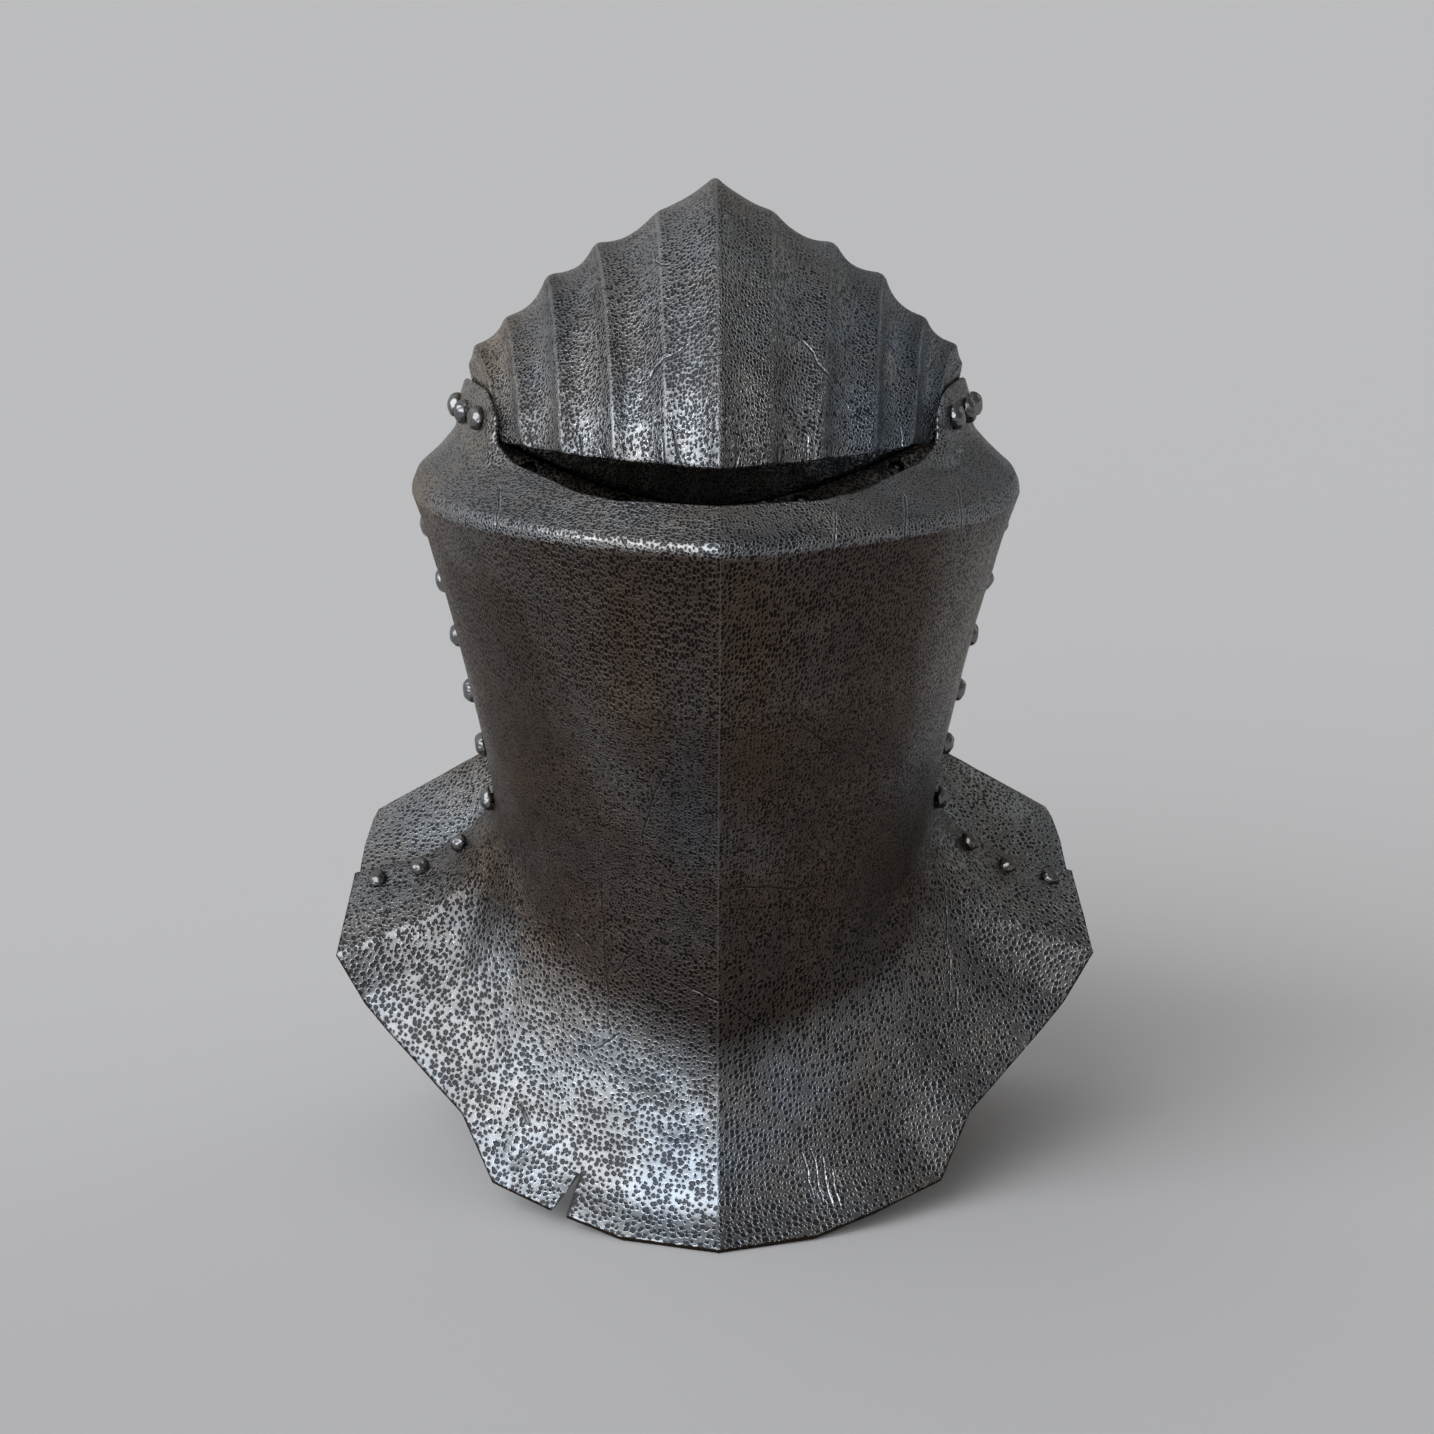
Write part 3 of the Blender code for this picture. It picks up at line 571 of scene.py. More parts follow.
# %% [markdown]
# ## From a surface to a closed sheet
#
# The cut edge of an old plate is rounded over and stained brown. So the sheet is closed
# here and not by a Solidify modifier: the inner wall is the surface moved in along its
# normals, and two rings of points between the walls make a rounded edge. Attributes on the
# points say where the edge and the crests are, so that the material can follow them.

# %% Closed sheets
LOW, HIGH = (np.array(corner) / MM for corner in cad_box)
EDGE_ROUNDING = 0.8          # mm
EDGE_STAIN = 0.4             # how brown the walls are along their edge, as a share


def placed(name, data, facing=None):
    """An object in the scene; its own +Z looks along `facing`, if that is given."""
    made = bpy.data.objects.new(name, data)
    bpy.context.scene.collection.objects.link(made)
    if facing:
        made.rotation_euler = facing.to_track_quat("Z", "Y").to_euler()
    return made


def new_object(name, points, faces):
    """A mesh object in the scene, from points in mm."""
    mesh = bpy.data.meshes.new(name)
    mesh.from_pydata((np.asarray(points) * MM).tolist(), [], faces)
    return placed(name, mesh)


def border(grid):
    """The entries of a grid, once round its border."""
    return np.concatenate([grid[0, :-1], grid[:-1, -1], grid[-1, :0:-1], grid[:0:-1, 0]])


def edge_directions(points):
    """For each border point, the direction in the surface that leads out over the edge."""
    out = np.zeros_like(points)
    out[0] += points[0] - points[1]
    out[-1] += points[-1] - points[-2]
    out[:, 0] += points[:, 0] - points[:, 1]
    out[:, -1] += points[:, -1] - points[:, -2]
    return unit(border(out))


def store(mesh, label, values):
    """Keeps one number or one vector for each point, as an attribute of the mesh."""
    kind, field = ("FLOAT_VECTOR", "vector") if values.ndim == 2 else ("FLOAT", "value")
    made = mesh.attributes.new(label, kind, "POINT")
    made.data.foreach_set(field, values.astype(np.float32).ravel())


def edge_wear(surface, depth, reach):
    """How far the outside has worn down: `depth` along the first row, and nothing from
    `reach` on, measured down each column, in mm."""
    return (depth * (1 - ease(travelled(surface, 0) / reach)))[..., None]


# %% One sheet
def sheet(name, surface, plan, thickness, worn, top_stain, attributes):
    """A closed sheet: two walls, and three bands round the edge. The inner wall lies at
    `thickness` from the surface, and the outer one has sunk into it by `worn`, both in mm.
    `top_stain` is how brown the upper edge is, as a share of the other edges."""
    normals = surface_normals(surface)
    inner, outer = surface - normals * thickness, surface - normals * worn
    index = np.arange(worn.size).reshape(worn.shape[:2])
    loop, count = border(index), index.size
    rounding = border(np.minimum(EDGE_ROUNDING, 0.4 * (thickness - worn)))
    outward = edge_directions(outer) * rounding
    first_ring = border(outer) - border(normals) * rounding
    second_ring = border(inner) + border(normals) * rounding
    outer, inner = outer.reshape(-1, 3), inner.reshape(-1, 3)
    outer[loop] -= outward
    inner[loop] -= outward
    points = np.concatenate([outer, inner, first_ring, second_ring])
    points = np.clip(points + np.array([0.0, CENTRE_Y, 0.0]), LOW, HIGH)

    ring = np.arange(len(loop)) + 2 * count
    chain = loop, ring, ring + len(loop), loop + count
    bands = [np.stack([a, np.roll(a, -1), np.roll(b, -1), b], axis=-1)
             for a, b in zip(chain, chain[1:])]
    quads = grid_faces(index)
    faces = np.concatenate([quads, quads[:, ::-1] + count] + bands)
    made = new_object(name, points, faces.tolist())
    made.data.shade_smooth()

    stain = np.where(loop < index.shape[1], top_stain, 1.0)
    rim = np.concatenate([np.zeros(2 * count), stain, stain])
    rim[loop] = EDGE_STAIN * stain
    inside = np.repeat([0.0, 1.0, 0.0, 1.0], [count, count, len(loop), len(loop)])
    attributes = dict(attributes, rim=rim, inside=inside, plan=plan.reshape(-1, 3) * MM)
    for label, values in attributes.items():
        if len(values) == count:
            values = np.concatenate([values, values, values[loop], values[loop]])
        store(made.data, label, values)
    print(name, len(points), "points,", 2 * len(faces), "triangles")
    return made


def points_of(mesh):
    """The points of a mesh, in metres."""
    points = np.empty(len(mesh.vertices) * 3)
    mesh.vertices.foreach_get("co", points)
    return points.reshape(-1, 3)


def outside_volume(made):
    """Signed volume of a closed mesh in cubic centimetres: positive if its faces look out."""
    mesh = made.data
    mesh.calc_loop_triangles()
    corners = np.empty(len(mesh.loop_triangles) * 3, int)
    mesh.loop_triangles.foreach_get("vertices", corners)
    a, b, c = points_of(mesh)[corners.reshape(-1, 3)].swapaxes(0, 1)
    return (a * np.cross(b, c)).sum() / 6 * 1e6


# %% [markdown]
# ## Where the finish changes
#
# The pits are coarse on the chest and fine on the lip and the crown, the sheltered neck is
# brown with patina and with painted shade under the lip, and the keel and the crests are
# rubbed bright. Painted highlights and painted shade go on the lip's nose, in the flutes and
# in patches over the plates. Each of these is a number on every point, worked out from the
# point's own place.

# %% Tables of tones and tints
def near(value, middle, width):
    """A bell: exp(-((value - middle) / width)^2)."""
    return np.exp(-((value - middle) / width) ** 2)


# x and z of the middle, width, height, and how much lighter or darker it is painted: painted
# highlight and shade
FRONT_PAINTED_LIGHT = (
    (-136, 104, 34, 26, -0.36), (-112, 128, 24, 16, -0.34), (-25, 36, 38, 26, 0.12),
    (22, 36, 22, 26, 0.18), (98, 78, 34, 26, -0.14), (142, 106, 26, 24, -0.22),
    (-92, 240, 26, 60, -0.30), (88, 230, 20, 60, 0.20), (-10, 342, 60, 7, -0.06),
    (110, 345, 30, 15, -0.16), (24, 333, 32, 5, -0.32), (20, 110, 20, 34, -0.20),
    (-22, 108, 18, 30, -0.10),
)
# painted highlights and painted shade on the crown, in the same columns
CROWN_PAINTED_LIGHT = (
    (-12, 440, 40, 28, 0.20), (88, 388, 18, 30, -0.10), (30, 390, 25, 40, 0.05),
    (-40, 360, 60, 8, -0.16), (-45, 384, 50, 14, 0.10),
)
# the same, for how much redder or bluer the metal is there
FRONT_TINTS = (
    (-132, 325, 14, 22, 1.6), (-104, 362, 14, 16, 1.2), (-34, 272, 26, 36, 1.0),
    (13, 250, 15, 62, 1.0), (-13, 205, 13, 75, -1.3), (92, 195, 14, 34, -1.4),
    (-88, 200, 20, 70, 0.8), (62, 122, 18, 18, -1.0), (130, 330, 16, 24, -1.0),
    (0, 345, 90, 10, 0.35), (-10, 40, 60, 40, -0.6), (45, 150, 16, 30, 0.8),
    (90, 70, 40, 40, 0.35),
)
LIP_FROM = 327.3             # z, mm
# painted highlight in the middle of each flute, and painted shade on the crests' flanks
FLUTE_HIGHLIGHT = 0.36           # from the flanks of the crests to the middle of a flute
FADE_ROWS = 16               # over the last rows, at the nape, the crests run out


# %% Finish maps
def toned(x, z, table):
    """Sum of bells: amount * exp(-((x - middle) / width)^2 - ((z - middle) / height)^2)."""
    return sum(amount * near(x, a, wide) * near(z, b, tall) for a, b, wide, tall, amount in table)


def front_maps(surface):
    x, y, z = surface.reshape(-1, 3).T
    across = np.abs(x)
    chest = ease((165.0 - z) / 80.0)
    lip = ease((z - LIP_FROM) / 2.0)
    # painted highlight on the lip's nose facet, on the half towards the window lamp; the crest map
    # carries it
    painted_facet_highlight = near(z, 331.7, 2.0) * ease((-y - 60.0) / 60.0) * ease((6.0 - x) / 10.0)
    # the neck's brown is partly real patina and partly painted shade under the lip's overhang
    neck = ease((z - 54.0 - 0.45 * across) / 42.0) * (1 - lip)
    # shade is painted shade low on the neck, on the helm's left, away from the window lamp
    shade = near(x, 62.0, 42.0) * near(z, 112.0, 30.0)
    low = 1 - ease((z - 220.0) / 70.0)
    sides = np.where(x < 0, 0.2, 0.5) * ease((across - 78.0) / 40.0)
    keel = near(x, 0.0, 0.9) * (y < 0) * (1 - 0.8 * lip - 0.35 * neck)
    return {"coarse": np.clip(0.35 * low + 0.65 * chest - lip, 0, 1),
            "patina_and_shade": neck * (1 - sides) + 0.5 * shade,
            "streak": ease((z - 225.0) / 50.0) * (1 - lip),
            "warm": toned(x, z, FRONT_TINTS) * (y < 0) + 0.25 * neck,
            "tone": toned(x, z, FRONT_PAINTED_LIGHT) * (y < 0),
            "crest": np.maximum(keel, 0.64 * painted_facet_highlight)}


def crown_maps(surface):
    x, y, z = surface.reshape(-1, 3).T
    rows, columns = surface.shape[:2]
    per_flute = FLUTE_STEPS * COLUMNS_PER_STEP
    from_ridge = np.arange(columns) - columns // 2
    last = per_flute * (len(FLUTE_DEPTHS) - 1)
    crest = (from_ridge % per_flute == 0) & (np.abs(from_ridge) <= last)
    fade = np.ones((rows, 1))
    fade[-FADE_ROWS:, 0] = np.linspace(1, 0, FADE_ROWS)
    # painted highlight: the hollows are painted brighter and the flanks of the crests darker
    painted_flute_highlight = (fade * (np.sin(math.pi * from_ridge / per_flute) ** 2 - 0.5)).ravel()
    painted_flute_highlight *= FLUTE_HIGHLIGHT * ease((450.0 - z) / 60.0)
    brow = ease((398.0 - z) / 45.0) * ease((82.0 - np.abs(x)) / 40.0) * ease(-y / 100.0)
    return {"coarse": 0.05 + 0.75 * brow,
            "patina_and_shade": 0.25 * ease((y - 10.0) / 60.0),
            "warm": 1.2 * near(x, -98.0, 12.0) + 0.1 - 0.9 * ease((x - 35.0) / 30.0),
            "tone": toned(x, z, CROWN_PAINTED_LIGHT) * (y < 0) + painted_flute_highlight,
            "crest": (crest * fade).ravel()}


def back_maps(surface):
    x, y, z = surface.reshape(-1, 3).T
    wings = ease((200.0 - z) / 60.0)
    return {"coarse": 0.2 + 0.6 * wings,
            "patina_and_shade": 0.8 * (1 - wings),
            "warm": 0.6 * (1 - wings),
            # painted light: the back is lighter on the helm's right, where the window lamp is, and
            # darker on its left
            "tone": 0.16 - 0.22 * ease((x + 40.0) / 80.0)}


# %% The three sheets
# the brow of the lip has worn little, and the tabs at the temples have worn thin (all in mm)
BROW_WEAR, TAB_WEAR, WEAR_REACH = 0.6, 2.0, 9.0
TABS_FROM, TABS_FULL = 84.0, 96.0
CROWN_WEAR, CROWN_WEAR_REACH = 1.2, 5.0
TOP_STAIN = 0.1              # of the brow and the crown's edge, which have been wiped
tabs = ease((np.abs(front_surface[0, :, 0]) - TABS_FROM) / (TABS_FULL - TABS_FROM))
front_plate = sheet("front_plate_steel", front_surface, front_plan, FRONT_THICKNESS,
                    edge_wear(front_surface, BROW_WEAR + (TAB_WEAR - BROW_WEAR) * tabs, WEAR_REACH),
                    TOP_STAIN, front_maps(front_surface))
back_plate = sheet("back_plate_steel", back_surface, back_plan, BACK_THICKNESS,
                   0.0 * back_surface[..., :1], 1.0, back_maps(back_surface))
# the crown's rows run upwards first, so its columns are turned round to face outwards
crown_surface, crown_plan = crown_surface[:, ::-1], crown_plan[:, ::-1]
skull_plate = sheet("skull_plate_steel", crown_surface, crown_plan, CROWN_THICKNESS,
                    edge_wear(crown_surface, CROWN_WEAR, CROWN_WEAR_REACH), TOP_STAIN,
                    crown_maps(crown_surface))
for made in (front_plate, back_plate, skull_plate):
    print(made.name, "encloses", outside_volume(made).round(1), "cubic cm")

# %% [markdown]
# ## The torn notch and the crack
#
# The chest's rim is torn on the wearer's right and cracked on the left. A tear goes right
# through the sheet, so it is a Boolean cut with a thin wedge. The wedge has the "rim"
# attribute, so the torn faces are brown too. The modifier's result is kept as the mesh.

# %% Tears
def tube_faces(rows, around):
    """Faces between the rows of a tube, each row with this many points."""
    index = np.arange(rows * around).reshape(rows, around)
    return grid_faces(np.concatenate([index, index[:, :1]], axis=1)).tolist()


# x and z of the corners of each wedge: one side of the mouth, the tip, the other side
NOTCH = ((-82.3, -8.0), (-74.6, 9.0), (-61.5, 24.0), (-68.0, 8.0), (-71.5, -10.0))
CRACK = ((146.4, 60.7), (141.95, 67.6), (137.6, 75.4), (141.6, 67.35), (145.7, 60.2))


def tear(made, name, outline, y_from, y_to):
    """Cuts a wedge with this outline, from y_from to y_to, out of a sheet."""
    n = len(outline)
    points = [(x, y, z) for y in (y_from, y_to) for x, z in outline]
    ends = [tuple(range(n)), tuple(range(2 * n - 1, n - 1, -1))]
    wedge = new_object(name, points, ends + tube_faces(2, n))
    store(wedge.data, "rim", np.ones(2 * n))
    if outside_volume(wedge) < 0:
        wedge.data.flip_normals()
    cut = made.modifiers.new(name, "BOOLEAN")
    cut.operation, cut.object = "DIFFERENCE", wedge
    bpy.context.view_layer.update()
    graph = bpy.context.evaluated_depsgraph_get()
    result = bpy.data.meshes.new_from_object(made.evaluated_get(graph), depsgraph=graph)
    made.modifiers.clear()
    made.data = result
    bpy.data.objects.remove(wedge)
    print(name, "cut; the sheet now encloses", outside_volume(made).round(1), "cubic cm")


tear(front_plate, "notch", NOTCH, -120.0, -20.0)
tear(front_plate, "crack", CRACK, -60.0, 30.0)
print("attributes kept:", [a.name for a in front_plate.data.attributes])

# %% [markdown]
# ## Old steel, as nodes
#
# Centuries of rust have been scoured off this steel and have left it covered in small round
# pits, dark inside, with a bright ring round each one, rubbed metal that also serves as a
# painted glint. Flat Voronoi cells make such pits: each cell's middle is a pit, and its random
# colour sets the pit's size. Two sizes are mixed, coarse on the chest and fine on the lip. The
# same pits drive the colour, the roughness and the bump, so that the light agrees with the
# paint. The rest is measured in Object coordinates, in metres, so nothing slides when a plate
# moves.

# %% A short way to write node trees
class Tree:
    """The nodes of a material or a world. add() makes a node, sets its settings, and fills
    its sockets in order, by number or by name, with a link where the value is an output of
    another node."""

    def __init__(self, owner):
        owner.use_nodes = True
        self.nodes, self.links = owner.node_tree.nodes, owner.node_tree.links

    def fill(self, socket, value):
        if isinstance(value, bpy.types.NodeSocket):
            self.links.new(value, socket)
        else:
            socket.default_value = value

    def finish(self, shader, **named):
        """Fills sockets of the shader that the owner already has."""
        for key, value in named.items():
            self.fill(self.nodes[shader].inputs[key.replace("_", " ")], value)

    def add(self, kind, *ordered, settings=(), numbered=(), **named):
        made = self.nodes.new("ShaderNode" + kind)
        for key, value in dict(settings).items():
            setattr(made, key, value)
        for key, value in [*enumerate(ordered), *dict(numbered).items()]:
            self.fill(made.inputs[key], value)
        for key, value in named.items():
            self.fill(made.inputs[key.replace("_", " ")], value)
        return made.outputs

    def math(self, operation, *values, clamp=False):
        return self.add("Math", *values, settings={"operation": operation, "use_clamp": clamp})[0]

    def plus(self, one, other, clamp=False):
        return self.math("ADD", one, other, clamp=clamp)

    def times(self, one, other):
        return self.math("MULTIPLY", one, other)

    def line(self, value, slope, start):
        """A straight line of the value: value * slope + start."""
        return self.math("MULTIPLY_ADD", value, slope, start)

    def vector(self, operation, *values):
        outputs = self.add("VectorMath", *values, settings={"operation": operation})
        return outputs["Value" if operation in ("DISTANCE", "DOT_PRODUCT") else "Vector"]

    def ramp(self, value, low, high, to_low=0.0, to_high=1.0):
        """A smooth step of the value from low to high, scaled to run from to_low to to_high."""
        return self.add("MapRange", settings={"interpolation_type": "SMOOTHSTEP"}, Value=value,
                        From_Min=low, From_Max=high, To_Min=to_low, To_Max=to_high)[0]

    def noise(self, place, scale, detail=2.0):
        return self.add("TexNoise", Vector=place, Scale=scale, Detail=detail)

    def patches(self, place, scale, detail, *steps):
        """A noise's value, run through ramp()."""
        return self.ramp(self.noise(place, scale, detail)[0], *steps)

    def wavered(self, moved, place, scale, reach):
        """`moved`, shifted by a noise in `place`, by up to half of `reach` each way."""
        wobble = self.vector("SUBTRACT", self.noise(place, scale)["Color"], (0.5, 0.5, 0.5))
        return self.vector("MULTIPLY_ADD", wobble, (reach, reach, reach), moved)

    def mix(self, share, first, second):
        """Colour mix: first where the share is 0, second where it is 1."""
        return self.add("Mix", share, settings={"data_type": "RGBA"},
                        numbered={6: first, 7: second})[2]

    def blend(self, share, first, second):
        """Number mix: first where the share is 0, second where it is 1."""
        return self.add("Mix", share, settings={"data_type": "FLOAT"}, A=first, B=second)[0]

    def attribute(self, name, output="Fac"):
        return self.add("Attribute", settings={"attribute_name": name})[output]


# %% [markdown]
# ## Scratches
#
# A scratch is a thin groove, much finer than the mesh. Each one is a straight stroke between
# two points, seen from the front: a point's distance from the stroke, with a little noise in
# its place so that the stroke wavers, says whether it is in the groove.

# %% Strokes
def grooves(tree, place, strokes):
    """1 in the grooves, 0 outside, all seen from the front: a smooth step of the smallest
    distance / half-width. The distance is measured from the nearest point of a stroke,
    start + clamp((P - start).(end - start) / length^2) * (end - start)."""
    seen = tree.vector("MULTIPLY", tree.wavered(place, place, 60.0, 0.0050), (1.0, 0.0, 1.0))
    closest = 1.0
    for ax, az, bx, bz, width in strokes:
        a, b = Vector((ax, 0, az)) * MM, Vector((bx, 0, bz)) * MM
        step = (b - a) / (b - a).length_squared
        share = tree.vector("DOT_PRODUCT", seen, step)
        share = tree.math("SUBTRACT", share, step.dot(a), clamp=True)
        distance = tree.vector("DISTANCE", seen, tree.vector("MULTIPLY_ADD", share, b - a, a))
        closest = tree.math("MINIMUM", tree.math("DIVIDE", distance, width * MM), closest)
    return tree.ramp(closest, 1.0, 0.0)


# %% Tables of strokes
# from and to, as x and z on the front of the helm, and the groove's half-width, mm
FRONT_STROKES = (
    (2, 167.5, 45, 159, 0.8), (-17, 118, 1, 110.5, 0.9), (1, 110.5, 28, 89, 0.8),
    (-21.7, 226.8, -28.5, 206, 0.9), (-28.5, 206, -33.5, 182, 0.9),
    (-36.6, 127.8, -45.7, 115.5, 1.1),
    (-52, 162, -48.5, 92, 0.6), (-89, 165.5, -87.4, 152, 0.8), (106.4, 136, 107.4, 93, 0.8),
    (110.4, 93, 111.7, 83, 1.4), (30, 251, 52.8, 225, 0.7), (63.3, 282, 64.9, 261, 0.7),
    (-75.6, 299, -74, 279, 0.7), (-56.4, 77.9, -44, 87, 0.9), (-62.4, 131, -57, 127, 1),
    (-89.7, 47.7, -86.1, 39.4, 1.8), (-25, 344.5, -40.4, 334, 0.7),
    (-40.4, 334, -36, 325, 0.7), (-36, 325, -28.3, 306, 0.6), (47, 324, 48, 341, 0.9),
    (-94, 326, -93, 342, 0.9), (77, 325, 78.5, 342, 1), (104.5, 324, 103, 341, 1),
    (38, 34, 43, 16, 0.9), (42, 36, 47, 14, 0.8), (46.5, 32, 51, 13, 0.9),
    (51, 26, 55, 12, 0.8),
)
CROWN_STROKES = (
    (-28.5, 390.5, -22.8, 398.5, 0.9), (-22.8, 398.5, -15, 404.2, 0.7), (37, 403, 42, 396, 1),
    (42, 396, 46.5, 391, 1.1), (46.5, 391, 55.1, 375.4, 0.7), (-66.5, 392.8, -60, 394, 1),
    (-26.6, 434.3, -20.5, 434.3, 0.8), (-7.7, 402, 9.1, 403, 0.6), (-80, 356, -80.5, 364, 0.8),
    (-57.2, 357, -57.6, 366, 0.8), (-49.1, 357, -49.5, 363, 0.7), (-22, 358, -24, 369, 0.9),
    (-15, 358, -19, 372, 1), (5.7, 358, 9, 366, 0.8), (24.2, 358, 24, 365, 0.7),
    (37, 358, 37.4, 368, 0.8), (48.2, 358, 48.6, 363, 0.7), (78, 356, 78.4, 366, 0.8),
    (90, 388, 96, 383, 0.8),
)

# %% [markdown]
# ## The steel itself
#
# One function makes the steel of all three plates and the rivets, from a few values: the
# colour of the rubbed metal, of the brown patina, which on the neck also paints the shade
# under the lip, of the bright rings round the pits, which paint glints, and of the pits.
# Metallic is 1 everywhere, even in the pits, because what darkens them is a thin black oxide
# that still reflects.

# %% Colours and sizes
BRIGHT, CROWN_BRIGHT, RIVET_BRIGHT = ((grey, grey, grey, 1.0) for grey in (0.24, 0.20, 0.25))
PATINA_AND_SHADE = (0.078, 0.058, 0.047, 1.0)
RIM_BROWN = (0.030, 0.020, 0.014, 1.0)
# bright grey of the pits' rings, painted glints as well as rubbed metal, and of the scratches'
# burrs
RUBBED_GLINT = (0.68, 0.69, 0.71, 1.0)
CREST_GREY = (0.50, 0.50, 0.50, 1.0)
INNER_GREY = (0.31, 0.30, 0.28, 1.0)
GRAZING_TINT = (0.78, 0.76, 0.74, 1.0)
IN_THE_PITS = (0.22, 0.22, 0.24)             # a pit's colour, as a share of the metal round it
REDDER, BLUER = 0.11, -0.12                  # what one unit of "warm" adds to red and to blue
COARSE_SPACING, SMALL_SPACING = 0.0026, 0.0017
STREAKED = (1.1, 0.6, 1.0)                   # draws pits out along the plate
BUMP_HEIGHT = 0.00045


# %% Pits
def pits(tree, plan, spacing, smallest, largest):
    """How far outside its pit a point is: under 0 inside, over 0 on the flat between pits.
    With F1 and F2 the distances to the nearest and second nearest cell's middle, the measure
    is 0.45 * F1 / F2 + 0.8 * F1, less a random number from smallest to largest: the first
    part keeps neighbours apart and the second keeps a pit round."""
    nearest, second = (
        tree.add("TexVoronoi", settings={"voronoi_dimensions": "2D", "feature": feature},
                 Vector=plan, Scale=1.0 / spacing, Randomness=0.85) for feature in ("F1", "F2"))
    ratio = tree.math("DIVIDE", nearest["Distance"], second["Distance"])
    measure = tree.line(ratio, 0.45, tree.times(nearest["Distance"], 0.8))
    pick = tree.add("SeparateColor", nearest["Color"])[0]
    return tree.math("SUBTRACT", measure, tree.line(pick, largest - smallest, smallest))


def pitting(tree, place, crest, streaked):
    """Where the pits are and where the bright rings round them are, each from 0 to 1. The rings are
    rubbed metal and also painted glints.
    """
    plan = tree.wavered(tree.attribute("plan", "Vector"), place, 320.0, 0.0016)
    small = pits(tree, plan, SMALL_SPACING, 0.42, 0.80)
    if streaked:
        streaks = pits(tree, tree.vector("MULTIPLY", plan, STREAKED), SMALL_SPACING, 0.42, 0.82)
        small = tree.blend(tree.attribute("streak"), small, streaks)
    coarse = pits(tree, plan, COARSE_SPACING, 0.30, 0.72)
    patch = tree.noise(place, 38.0, 3.0)[0]
    spread = tree.ramp(patch, 0.3, 0.7, -0.25, 0.25)
    spread = tree.plus(tree.attribute("coarse"), spread, clamp=True)
    outside = tree.plus(tree.blend(spread, small, coarse), tree.ramp(patch, 0.25, 0.5, 0.10, 0.0))
    outside = tree.line(crest, 0.28, outside)
    ring = tree.times(tree.ramp(outside, 0.0, 0.07), tree.ramp(outside, 0.24, 0.08))
    return tree.ramp(outside, 0.05, -0.16), ring


